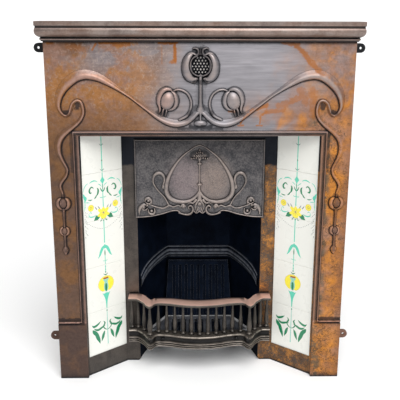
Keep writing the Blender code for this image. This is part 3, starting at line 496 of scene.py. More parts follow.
class Board:
    """A node tree being wired, with short calls for what the finishes use."""

    def __init__(self, tree: bpy.types.NodeTree) -> None:
        """Take a tree to wire."""
        self.tree = tree

    def node(self, kind: str, **settings: object) -> bpy.types.Node:
        """Add a node and set it up.

        Args:
            kind: The node's type.
            **settings: Values for the node's own fields.

        Returns:
            The node.
        """
        made = self.tree.nodes.new(kind)
        for word, value in settings.items():
            setattr(made, word, value)
        return made

    def feed(self, socket: Socket, value: Value) -> None:
        """Link a socket, or set it to a plain value.

        Args:
            socket: The input.
            value: What it takes.
        """
        if isinstance(value, Socket):
            self.tree.links.new(value, socket)
        else:
            socket.default_value = value

    def sum(self, operation: str, first: Value, second: Value = 0.0, clamp: bool = False) -> Socket:
        """One step of arithmetic.

        Args:
            operation: The step's name.
            first: Its first value.
            second: Its second value.
            clamp: True to keep the result between 0 and 1.

        Returns:
            The result.
        """
        made = self.node("ShaderNodeMath", operation=operation, use_clamp=clamp)
        self.feed(made.inputs[0], first)
        self.feed(made.inputs[1], second)
        return made.outputs[0]

    def vector(self, operation: str, first: Value, second: Value) -> Socket:
        """One step of vector arithmetic.

        Args:
            operation: The step's name.
            first: Its first vector.
            second: Its second vector, or the scale.

        Returns:
            The vector, or the number where the step gives one.
        """
        made = self.node("ShaderNodeVectorMath", operation=operation)
        self.feed(made.inputs[0], first)
        self.feed(made.inputs["Scale" if operation == "SCALE" else 1], second)
        return made.outputs["Value" if operation in ("DOT_PRODUCT", "LENGTH", "DISTANCE") else 0]

    def both(self, first: Value, second: Value) -> Socket:
        """Where two masks hold together."""
        return self.sum("MULTIPLY", first, second)

    def either(self, first: Value, second: Value) -> Socket:
        """Where one mask or the other holds."""
        return self.sum("MAXIMUM", first, second)

    def rest(self, mask: Value) -> Socket:
        """Where a mask doesn't hold."""
        return self.sum("SUBTRACT", 1.0, mask)

    def mix(self, share: Value, first: Value, second: Value, blend: str = "MIX") -> Socket:
        """Two colours mixed.

        Args:
            share: How much of the second.
            first: The first colour.
            second: The second colour.
            blend: How they are mixed.

        Returns:
            The mixed colour.
        """
        made = self.node("ShaderNodeMix", data_type="RGBA", blend_type=blend, clamp_factor=True)
        self.feed(made.inputs[0], share)
        self.feed(made.inputs[6], first)
        self.feed(made.inputs[7], second)
        return made.outputs[2]

    def fit(self, value: Value, low: Value, high: Value, to_low: float = 0.0,
            to_high: float = 1.0) -> Socket:
        """Ease a value from one span to another.

        Args:
            value: The value.
            low: Where the span starts, above high for a span that falls.
            high: Where it ends.
            to_low: What low becomes.
            to_high: What high becomes.

        Returns:
            The eased value.
        """
        made = self.node("ShaderNodeMapRange", interpolation_type="SMOOTHSTEP", clamp=False)
        for slot, number in zip(made.inputs, (value, low, high, to_low, to_high)):
            self.feed(slot, number)
        return made.outputs[0]

    def noise(self, at: Value, scale: Value, detail: float = 4.0, rough: float = 0.55,
              warp: float = 0.0) -> Socket:
        """Cloudy noise around 0.5.

        Args:
            at: The place.
            scale: Features a metre.
            detail: How many finer layers.
            rough: How strong these are.
            warp: How far it is swirled.

        Returns:
            The noise.
        """
        made = self.node("ShaderNodeTexNoise")
        names = ("Vector", "Scale", "Detail", "Roughness", "Distortion")
        for word, value in zip(names, (at, scale, detail, rough, warp)):
            self.feed(made.inputs[word], value)
        return made.outputs["Fac"]

    def stretched(self, at: Value, size: Key) -> Socket:
        """A place scaled apart along each axis.

        Args:
            at: The place.
            size: The scales.

        Returns:
            The new place.
        """
        made = self.node("ShaderNodeMapping")
        self.feed(made.inputs["Vector"], at)
        self.feed(made.inputs["Scale"], size)
        return made.outputs[0]

    def split(self, vector: Value) -> bpy.types.bpy_prop_collection:
        """A vector's three parts.

        Args:
            vector: The vector.

        Returns:
            X, Y and Z.
        """
        made = self.node("ShaderNodeSeparateXYZ")
        self.feed(made.inputs[0], vector)
        return made.outputs

    def worn(self) -> Socket:
        """How polished the piece is here, from its points, in part painted highlight, below nought where
        painted shade and dirt lie.
        """
        return self.node("ShaderNodeAttribute", attribute_name="worn").outputs["Fac"]

    def bump(self, height: Value, strength: float, distance: float) -> Socket:
        """A bump from a height.

        Args:
            height: The height.
            strength: How strong the bump is.
            distance: How far a height of one stands out, in metres.

        Returns:
            The bent normal.
        """
        made = self.node("ShaderNodeBump")
        for word, value in (("Strength", strength), ("Distance", distance), ("Height", height)):
            self.feed(made.inputs[word], value)
        return made.outputs[0]


class Effect:
    """Node groups that more than one finish uses, each built once."""

    made: dict[str, bpy.types.NodeTree] = {}

    @staticmethod
    def group(name: str, outputs: dict[str, str], **inputs: float | Key) -> tuple[Board, dict, dict]:
        """Start a group with named sockets.

        Args:
            name: The group's name.
            outputs: Socket names to kinds.
            inputs: Socket names to usual values: a number, a place of three or a colour of four.

        Returns:
            The group's board, the sockets that come in and those that go out.
        """
        tree = bpy.data.node_groups.new(name, "ShaderNodeTree")
        for word, usual in inputs.items():
            size = len(usual) if isinstance(usual, tuple) else 1
            kind = {1: "Float", 3: "Vector", 4: "Color"}[size]
            socket = tree.interface.new_socket(word, in_out="INPUT", socket_type="NodeSocket" + kind)
            socket.default_value = usual
        for word, kind in outputs.items():
            tree.interface.new_socket(word, in_out="OUTPUT", socket_type="NodeSocket" + kind)
        board = Board(tree)
        start = board.node("NodeGroupInput")
        end = board.node("NodeGroupOutput")
        Effect.made[name] = tree
        return board, start.outputs, end.inputs

    @staticmethod
    def mottle() -> None:
        """Patches with ragged edges, more of them as Cover rises."""
        board, come, go = Effect.group("mottle", {"Mask": "Float"}, Place=NOWHERE, Scale=10.0,
                                       Cover=0.5, Edge=0.08)
        cloud = board.noise(come["Place"], come["Scale"], 7.0, 0.62, 0.6)
        level = board.sum("ADD", board.both(come["Cover"], -0.55), 0.775)
        low = board.sum("SUBTRACT", level, come["Edge"])
        high = board.sum("ADD", level, come["Edge"])
        board.feed(go["Mask"], board.fit(cloud, low, high))

    @staticmethod
    def torn() -> None:
        """Noise that breaks the outline of a mark, around nought."""
        board, come, go = Effect.group("torn", {"Tear": "Float"}, Place=NOWHERE, Ragged=0.4)
        cloud = board.sum("SUBTRACT", board.noise(come["Place"], 90.0, 6.0, 0.66, 0.4), 0.5)
        board.feed(go["Tear"], board.both(cloud, board.both(come["Ragged"], 4.0)))

    @staticmethod
    def finish_mark(board: Board, come: dict, go: dict, far: Socket) -> None:
        """End a mark's group: one inside the mark, nought beyond it, eased across its edge.

        Args:
            board: The group's board.
            come: The sockets that come in, Tear and Edge among them.
            go: The sockets that go out.
            far: How far the place is from the mark's middle, one at its edge.
        """
        reach = board.sum("ADD", far, come["Tear"])
        low, high = board.sum("ADD", 1.0, come["Edge"]), board.rest(come["Edge"])
        board.feed(go["Mask"], board.fit(reach, low, high))

    @staticmethod
    def stain() -> None:
        """A soft-edged oval mark at one place."""
        board, come, go = Effect.group("stain", {"Mask": "Float"}, Place=NOWHERE, Centre=NOWHERE,
                                       Size=(0.01, 1.0, 0.01), Tear=0.0, Edge=0.3)
        away = board.vector("SUBTRACT", come["Place"], come["Centre"])
        far = board.vector("LENGTH", board.vector("DIVIDE", away, come["Size"]), NOWHERE)
        Effect.finish_mark(board, come, go, far)

    @staticmethod
    def streak() -> None:
        """A soft-edged mark along a line from one place to another."""
        board, come, go = Effect.group("streak", {"Mask": "Float"}, Place=NOWHERE, From=NOWHERE,
                                       To=NOWHERE, Width=0.005, Tear=0.0, Edge=0.4)
        run = board.vector("SUBTRACT", come["To"], come["From"])
        ahead = board.vector("SUBTRACT", come["Place"], come["From"])
        share = board.sum("DIVIDE", board.vector("DOT_PRODUCT", ahead, run),
                          board.vector("DOT_PRODUCT", run, run))
        share = board.either(board.sum("MINIMUM", share, 1.0), 0.0)
        near = board.vector("SCALE", run, share)
        far = board.sum("DIVIDE", board.vector("DISTANCE", ahead, near), come["Width"])
        Effect.finish_mark(board, come, go, far)

    @staticmethod
    def rust() -> None:
        """Rust colour from pale orange to dark brown, and dark pitting to lay in it."""
        board, come, go = Effect.group(
            "rust", {"Color": "Color", "Pit": "Float"}, Place=NOWHERE, Bright=linear(206, 122, 40),
            Dark=linear(118, 66, 34), Pits=0.4)
        at = come["Place"]
        cloud = board.noise(at, 26.0, 6.0, 0.62)
        colour = board.mix(board.fit(cloud, 0.36, 0.64), come["Dark"], come["Bright"])
        specks = board.noise(at, 240.0, 3.0, 0.6)
        wave = board.sum("SUBTRACT", board.noise(at, 115.0, 3.0, 0.5, 0.8), 0.52)
        worm = board.fit(board.sum("ABSOLUTE", wave), 0.050, 0.018)
        patch = board.fit(board.noise(at, 19.0, 5.0, 0.6), 0.42, 0.54)
        pit = board.either(board.fit(specks, 0.60, 0.68), board.both(worm, patch))
        board.feed(go["Color"], colour)
        board.feed(go["Pit"], board.both(pit, come["Pits"]))

    @staticmethod
    def grime_and_shade() -> None:
        """Painted shade and dirt where little light gets in, from the share of open sky at a point."""
        board, come, go = Effect.group("grime_and_shade", {"Mask": "Float"}, Open=1.0, Place=NOWHERE, Amount=1.0)
        shut = board.both(board.rest(come["Open"]), come["Amount"])
        cloud = board.noise(come["Place"], 55.0, 4.0, 0.6)
        shut = board.sum("ADD", shut, board.both(board.sum("SUBTRACT", cloud, 0.5), 0.25))
        board.feed(go["Mask"], board.fit(shut, 0.22, 0.50))

    @staticmethod
    def rubbed_edge() -> None:
        """Edges rubbed bare: the rounded normal bends away from the true one, out in the open."""
        board, come, go = Effect.group("rubbed_edge", {"Mask": "Float"}, Normal=NOWHERE,
                                       Rounded=NOWHERE, Open=1.0, Place=NOWHERE)
        along = board.vector("DOT_PRODUCT", come["Normal"], come["Rounded"])
        bent = board.both(board.fit(along, 0.99, 0.90), board.fit(come["Open"], 0.55, 0.85))
        rubbed = board.fit(board.noise(come["Place"], 60.0, 5.0, 0.65), 0.34, 0.58, 0.25, 1.0)
        board.feed(go["Mask"], board.both(bent, rubbed))

    @staticmethod
    def cast_grain() -> None:
        """The fine sandy height of a casting, with a few larger dents."""
        board, come, go = Effect.group("cast_grain", {"Height": "Float"}, Place=NOWHERE, Scale=1.0)
        fine = board.noise(come["Place"], board.both(come["Scale"], 700.0), 3.0)
        broad = board.noise(come["Place"], board.both(come["Scale"], 200.0), 5.0)
        board.feed(go["Height"], board.sum("ADD", board.both(fine, 0.35), board.both(broad, 0.65)))

    @staticmethod
    def build_all() -> None:
        """Build every group."""
        for step in (Effect.mottle, Effect.torn, Effect.stain, Effect.streak, Effect.rust,
                     Effect.grime_and_shade, Effect.rubbed_edge, Effect.cast_grain):
            step()

    @staticmethod
    def use(board: Board, name: str, **values: Value) -> bpy.types.bpy_prop_collection:
        """Place a group in a material.

        Args:
            board: The material's board.
            name: The group's name.
            values: Socket values or links.

        Returns:
            The group's outputs.
        """
        made = board.node("ShaderNodeGroup", node_tree=Effect.made[name])
        for word, value in values.items():
            board.feed(made.inputs[word], value)
        return made.outputs

    @staticmethod
    def patches(board: Board, at: Value, scale: float, cover: float, edge: float) -> Socket:
        """Ragged patches, from the mottle group."""
        return Effect.use(board, "mottle", Place=at, Scale=scale, Cover=cover, Edge=edge)["Mask"]

    @staticmethod
    def dirt_and_shade(board: Board, at: Value, open_sky: Value, amount: float) -> Socket:
        """Painted shade and dirt in the crooks, darker where less sky is open."""
        return Effect.use(board, "grime_and_shade", Open=open_sky, Place=at, Amount=amount)["Mask"]


@dataclass(frozen=True)
class Finish:
    """What every finish starts from: a name and the shader's plain values."""

    name: str
    metallic: float = 0.6
    specular: float = 0.5

    def start(self) -> tuple[bpy.types.Material, Board, bpy.types.Node, Socket]:
        """Make the material, its board, its shader and its place on the object.

        Returns:
            The material, the board, the shader and the place.
        """
        made = bpy.data.materials.new(self.name)
        made.use_nodes = True
        board = Board(made.node_tree)
        shader = made.node_tree.nodes["Principled BSDF"]
        shader.inputs["Metallic"].default_value = self.metallic
        shader.inputs["Specular IOR Level"].default_value = self.specular
        place = board.node("ShaderNodeTexCoord").outputs["Object"]
        return made, board, shader, place

    @staticmethod
    def edges(board: Board, at: Socket, open_sky: Value, radius: float) -> Socket:
        """Where edges within a radius are rubbed bare.

        Args:
            board: The material's board.
            at: The place on the object.
            open_sky: How open the place is.
            radius: The edges' radius.

        Returns:
            The edges' mask.
        """
        rounded = board.node("ShaderNodeBevel", samples=4)
        rounded.inputs["Radius"].default_value = radius
        true = board.node("ShaderNodeNewGeometry").outputs["Normal"]
        return Effect.use(board, "rubbed_edge", Normal=true, Rounded=rounded.outputs[0],
                          Open=open_sky, Place=at)["Mask"]

    @staticmethod
    def open_sky(board: Board, reach: float) -> Socket:
        """How open a point is to its surroundings within a reach.

        Args:
            board: The material's board.
            reach: How far to look, in metres.

        Returns:
            The mask, 1 where nothing stands near.
        """
        made = board.node("ShaderNodeAmbientOcclusion", samples=8)
        made.inputs["Distance"].default_value = reach
        return made.outputs["AO"]


@dataclass(frozen=True)
class CarvedIron(Finish):
    """Polished and rusted iron of the surround: warm at the left, steel grey, rusty at the right."""

    rose: Key = linear(146, 112, 96)
    ochre: Key = linear(158, 110, 68)
    brown: Key = linear(116, 84, 62)
    steel: Key = linear(118, 116, 120)
    pale: Key = linear(142, 139, 143)
    jamb: Key = linear(102, 80, 68)
    jamb_ochre: Key = linear(122, 88, 60)
    plinth: Key = linear(82, 66, 60)
    orange: Key = linear(186, 120, 48)
    rust_brown: Key = linear(146, 96, 56)
    fresh: Key = linear(150, 86, 14)
    crest: Key = linear(158, 146, 142)
    crest_rose: Key = linear(170, 136, 124)
    crest_rust: Key = linear(158, 112, 90)
    seed: Key = linear(226, 220, 216)
    # Colour of the dirt and painted shade in the crooks, in the smudges and at the stems' feet
    dirt_and_shade: Key = linear(17, 20, 26)
    fleck: Key = linear(172, 154, 142)
    jamb_edge: Key = linear(122, 84, 62)
    jamb_dull: Key = linear(84, 78, 66)
    pit: Key = linear(66, 52, 38)
    moulding: Key = linear(82, 68, 60)
    moulding_right: Key = linear(104, 78, 60)
    # Painted highlight along the frame's top bead
    moulding_top_highlight: Key = linear(146, 128, 122)
    back_dark: Key = linear(58, 48, 42)
    back_brown: Key = linear(92, 66, 50)
    lug_dark: Key = linear(26, 27, 30)
    lug_bare: Key = linear(124, 92, 78)

    def zones(self, board: Board, at: Socket, x: Socket, z: Socket) -> tuple[Socket, Socket]:
        """Lay the broad colours out over the casting.

        Args:
            board: The material's board.
            at: The place on the object.
            x: Its X.
            z: Its Z.

        Returns:
            The colour, and the mask of the rusty right-hand side.
        """
        sway = board.both(board.sum("SUBTRACT", board.noise(at, 6.0, 6.0, 0.6), 0.5), 0.34)
        across = board.sum("ADD", x, sway)
        cloud = board.noise(at, 13.0, 7.0, 0.62, 0.3)
        brushed = board.noise(board.stretched(at, (7.0, 7.0, 90.0)), 1.6, 5.0, 0.6)
        warm = board.mix(board.fit(board.noise(at, 9.0, 7.0, 0.66), 0.42, 0.54), self.rose, self.ochre)
        warm = board.mix(board.fit(board.noise(at, 5.0, 5.0), 0.52, 0.66), warm, self.brown)
        grey = board.mix(board.fit(brushed, 0.2, 0.8), self.steel, self.pale)
        patches = Effect.patches(board, at, 12.0, 0.46, 0.05)
        high = board.both(board.fit(z, 0.93, 1.03), board.fit(across, -0.44, -0.28))
        middle = board.fit(across, -0.24, -0.02)
        colour = board.mix(board.either(board.both(patches, board.both(high, 0.75)), middle), warm, grey)
        fleck = board.fit(board.noise(at, 75.0, 8.0, 0.78, 1.2), 0.52, 0.59)
        fleck = board.both(fleck, board.fit(across, -0.02, -0.12))
        colour = board.mix(board.both(fleck, 0.4), colour, self.fleck)
        low = board.both(board.fit(z, 0.93, 0.85), board.rest(middle))
        colour = board.mix(board.both(low, 0.6), colour, self.brown)
        rusty = Effect.use(board, "rust", Place=at, Bright=self.orange, Dark=self.rust_brown, Pits=0.9)
        flush = Effect.patches(board, at, 9.0, 0.5, 0.12)
        far = board.both(board.fit(across, 0.22, 0.38), board.sum("ADD", 0.45, board.both(flush, 0.5)))
        warm_right = board.mix(board.fit(cloud, 0.42, 0.6), self.rose, rusty["Color"])
        colour = board.mix(far, colour, warm_right)
        low_right = board.both(board.fit(z, 0.95, 0.84), board.fit(across, 0.08, 0.22))
        colour = board.mix(board.both(low_right, board.both(flush, 0.8)), colour, warm_right)
        left = board.both(board.fit(z, 0.86, 0.76), board.fit(x, -0.30, -0.34))
        jamb = board.mix(board.fit(cloud, 0.42, 0.62), self.jamb, self.jamb_ochre)
        colour = board.mix(left, colour, jamb)
        foot = board.both(board.fit(z, 0.2, 0.195), board.fit(x, -0.30, -0.34))
        spots = Effect.patches(board, at, 18.0, 0.35, 0.12)
        plinth = board.mix(board.both(spots, 0.45), self.plinth, self.jamb_ochre)
        colour = board.mix(foot, colour, plinth)
        right = board.both(board.fit(z, 0.92, 0.80), board.fit(x, 0.30, 0.34))
        bare = Effect.patches(board, at, 10.0, 0.42, 0.12)
        jamb = board.mix(board.both(bare, 0.75), rusty["Color"], self.rose)
        colour = board.mix(right, colour, jamb)
        edge = board.both(right, board.fit(x, 0.425, 0.450))
        colour = board.mix(board.both(edge, 0.6), colour, self.jamb_edge)
        near = board.both(right, board.fit(x, 0.400, 0.384))
        near = board.both(near, board.fit(board.noise(at, 30.0, 6.0, 0.7), 0.46, 0.56))
        colour = board.mix(board.both(near, 0.8), colour, self.jamb_dull)
        pits = board.both(rusty["Pit"], board.either(right, board.both(far, 0.5)))
        colour = board.mix(board.both(pits, 0.8), colour, self.pit)
        fine = board.fit(board.noise(at, 95.0, 8.0, 0.72), 0.32, 0.68, 0.82, 1.14)
        brush = board.noise(board.stretched(at, (3.0, 3.0, 34.0)), 2.6, 7.0, 0.6)
        brush = board.fit(brush, 0.34, 0.66, 0.90, 1.08)
        middle = board.both(middle, board.fit(across, 0.38, 0.28))
        fine = board.sum("ADD", board.both(fine, board.rest(middle)), board.both(brush, middle))
        return board.mix(1.0, colour, fine, blend="MULTIPLY"), right

    @staticmethod
    def spread(board: Board, at: Socket, marks: list[tuple[Key, float, float]]) -> Socket:
        """Lay soft streaks together.

        Args:
            board: The material's board.
            at: The place, its depth left out.
            marks: For each, (across, up) of both ends in millimetres, then width and strength.

        Returns:
            Their mask.
        """
        tear = Effect.use(board, "torn", Place=at, Ragged=0.75)["Tear"]
        whole = 0.0
        for (x0, z0, x1, z1), width, strength in marks:
            mark = Effect.use(board, "streak", Place=at, From=(x0 * MM, 0, z0 * MM),
                              To=((x1 + 0.1) * MM, 0, z1 * MM), Width=width * MM, Tear=tear)["Mask"]
            whole = board.either(whole, board.both(mark, strength))
        return whole

    @staticmethod
    def shade_and_patina_smudges() -> list[tuple[Key, float, float]]:
        """Painted shade and dark patina in the crooks of the ornament.

        Returns:
            Its streaks, as spread takes them.
        """
        made = [((-30, 825, 30, 825), 7, 1.0), ((-64, 820, 64, 820), 4, 0.8),
                ((0, 950, 0, 892), 15, 0.35), ((-14, 957, 14, 957), 8, 0.9),
                ((0, 1047, 0, 1030), 13, 0.8)]
        right = (((100, 862, 124, 866), 8, 0.7), ((12, 884, 34, 866), 7, 0.8),
                 ((361, 892, 362, 882), 8, 1.0), ((392, 869, 399, 868), 6.5, 1.0),
                 ((385, 808, 385, 690), 4, 0.7), ((416, 575, 416, 612), 9, 0.7),
                 ((416, 562, 416, 440), 6, 0.6), ((384, 205, 450, 205), 5, 0.9))
        for side in (-1, 1):
            made += [((side * x0, z0, side * x1, z1), width, strength)
                     for (x0, z0, x1, z1), width, strength in right]
        return made

    @staticmethod
    def marks() -> list[tuple[Key, float, float]]:
        """Fresh rust on the header.

        Returns:
            Its streaks, as spread takes them.
        """
        return [
            ((-118, 1069, -72, 1070), 5.5, 1.0), ((-74, 1068, -74, 1018), 5.0, 0.9),
            ((-84, 1013, -78, 1015), 6.5, 0.7), ((-112, 1066, -112, 1010), 2.0, 0.3),
            ((-290, 1069, -206, 1070), 5.0, 0.9), ((-300, 1066, -312, 1048), 3.0, 0.8),
            ((-250, 1062, -205, 1062), 4.0, 0.6), ((-438, 1069, -424, 1068), 5.0, 0.8),
            ((-380, 1060, -340, 1050), 9.0, 0.35),
            ((236, 1070, 282, 1064), 5.0, 0.7), ((268, 1066, 300, 1040), 6.5, 0.75),
            ((300, 1040, 322, 1012), 7.5, 0.75), ((318, 1018, 344, 990), 8.5, 0.7),
            ((342, 992, 352, 984), 9.0, 0.5), ((252, 1069, 262, 1060), 3.0, 0.6),
            ((118, 834, 128, 852), 3.0, 0.8), ((128, 852, 150, 872), 3.5, 0.8),
            ((150, 872, 196, 890), 6.0, 0.75), ((176, 834, 178, 858), 2.5, 0.75),
            ((178, 858, 196, 870), 3.5, 0.75), ((196, 870, 246, 876), 7.0, 0.6),
            ((230, 886, 300, 914), 9.0, 0.55), ((112, 829, 128, 830), 2.6, 0.7),
            ((166, 829, 182, 829), 2.4, 0.7), ((84, 872, 104, 871), 3.5, 0.8),
            ((330, 930, 336, 860), 12.0, 0.5), ((296, 930, 310, 900), 12.0, 0.5),
        ]

    @staticmethod
    def frame_zone(board: Board, x: Socket, z: Socket) -> Socket:
        """The moulded frame round the opening.

        Args:
            board: The material's board.
            x: The place's X.
            z: The place's Z.

        Returns:
            The frame's mask.
        """
        near, off = 0.0002, 0.0012
        away = board.sum("ABSOLUTE", x)
        inside = board.both(board.fit(away, FRAME_OUTER + off, FRAME_OUTER + near),
                            board.fit(z, FRAME_TOP + off, FRAME_TOP + near))
        return board.both(inside, board.fit(z, FRAME_FOOT, FRAME_FOOT + 0.001))

    def build(self) -> bpy.types.Material:
        """Wire the material.

        Returns:
            The finished material.
        """
        made, board, shader, at = self.start()
        x, y, z = board.split(at)
        flat = board.stretched(at, (1.0, 0.0, 1.0))
        colour, right = self.zones(board, at, x, z)
        broken = board.fit(board.noise(at, 60.0, 8.0, 0.72), 0.32, 0.48, 0.35, 1.0)
        fresh = board.both(self.spread(board, flat, self.marks()), broken)
        colour = board.mix(fresh, colour, self.fresh)
        moulded = self.frame_zone(board, x, z)
        side = board.mix(right, self.moulding, self.moulding_right)
        # The frame's top bead takes a painted highlight
        side = board.mix(board.fit(z, 0.802, 0.808), side, self.moulding_top_highlight)
        colour = board.mix(board.both(moulded, 0.85), colour, side)
        marked = board.worn()
        front = board.fit(y, FIELD_Y - 0.003, FIELD_Y - 0.0058)
        # Painted highlight along the frame's top bead and the plinths' bead, broken by rubbed patches
        line = board.either(board.both(moulded, board.fit(z, 0.806, 0.812, 0.55, 1.0)),
                            board.both(board.fit(z, 0.1935, 0.1950), board.fit(z, 0.2015, 0.2005)))
        rubbed = board.fit(board.noise(at, 50.0, 5.0, 0.6), 0.32, 0.62, 0.45, 0.95)
        line = board.both(board.both(front, line), rubbed)
        away = board.sum("ABSOLUTE", x)
        low_arm = board.both(board.fit(z, 0.885, 0.850), board.fit(away, 0.24, 0.16))
        tall = board.fit(z, 0.68, 0.93, 0.62, 0.85)
        tall = board.both(tall, board.rest(board.both(low_arm, 0.55)))
        worn = board.either(board.both(board.both(marked, rubbed), tall), board.both(line, 0.85))
        across = board.sum("ADD", x, board.both(board.noise(at, 20.0, 4.0), 0.12))
        crest = board.mix(board.fit(across, 0.05, -0.08), self.crest, self.crest_rose)
        crest = board.mix(board.both(right, 0.8), crest, self.crest_rust)
        crest = board.mix(board.fit(marked, 1.1, 1.9), crest, self.seed)
        colour = board.mix(worn, colour, crest)
        # Occlusion darkens the crooks: painted shade together with dirt; the smudges and the marks below
        # nought add painted shade and patina
        wide = Effect.dirt_and_shade(board, at, self.open_sky(board, 0.030), 0.9)
        close = Effect.dirt_and_shade(board, at, self.open_sky(board, 0.0075), 1.6)
        patina_and_shade = board.either(self.spread(board, flat, self.shade_and_patina_smudges()),
                            board.sum("MULTIPLY", marked, -1.0))
        dirt_and_shade = board.either(board.either(board.both(wide, 0.85), close), board.both(patina_and_shade, 0.85))
        colour = board.mix(dirt_and_shade, colour, self.dirt_and_shade)
        hidden = board.fit(y, FIELD_Y + 0.002, FIELD_Y + 0.006)
        plain = board.fit(board.noise(at, 16.0, 6.0, 0.6), 0.4, 0.6)
        plain = board.mix(plain, self.back_dark, self.back_brown)
        colour = board.mix(board.both(hidden, 0.9), colour, plain)
        lug = board.fit(away, BODY_HALF + 0.0005, BODY_HALF + 0.0015)
        bare = board.fit(z, 0.3, 0.2, 0.0, 0.8)
        bare = board.both(bare, board.fit(x, -0.4, 0.4, 0.45, 1.0))
        colour = board.mix(lug, colour, board.mix(bare, self.lug_dark, self.lug_bare))
        board.feed(shader.inputs["Base Color"], colour)
        matt = board.either(board.either(fresh, board.both(right, 0.85)), board.either(dirt_and_shade, hidden))
        streaks = board.noise(board.stretched(at, (7.0, 7.0, 90.0)), 1.6, 5.0, 0.6)
        rough = board.fit(streaks, 0.3, 0.7, 0.40, 0.50)
        board.feed(shader.inputs["Roughness"], board.sum("ADD", rough, board.both(matt, 0.25)))
        board.feed(shader.inputs["Metallic"], board.fit(matt, 0.0, 1.0, 0.6, 0.1))
        grain = Effect.use(board, "cast_grain", Place=at)["Height"]
        board.feed(shader.inputs["Normal"], board.bump(grain, 0.25, 0.0006))
        return made


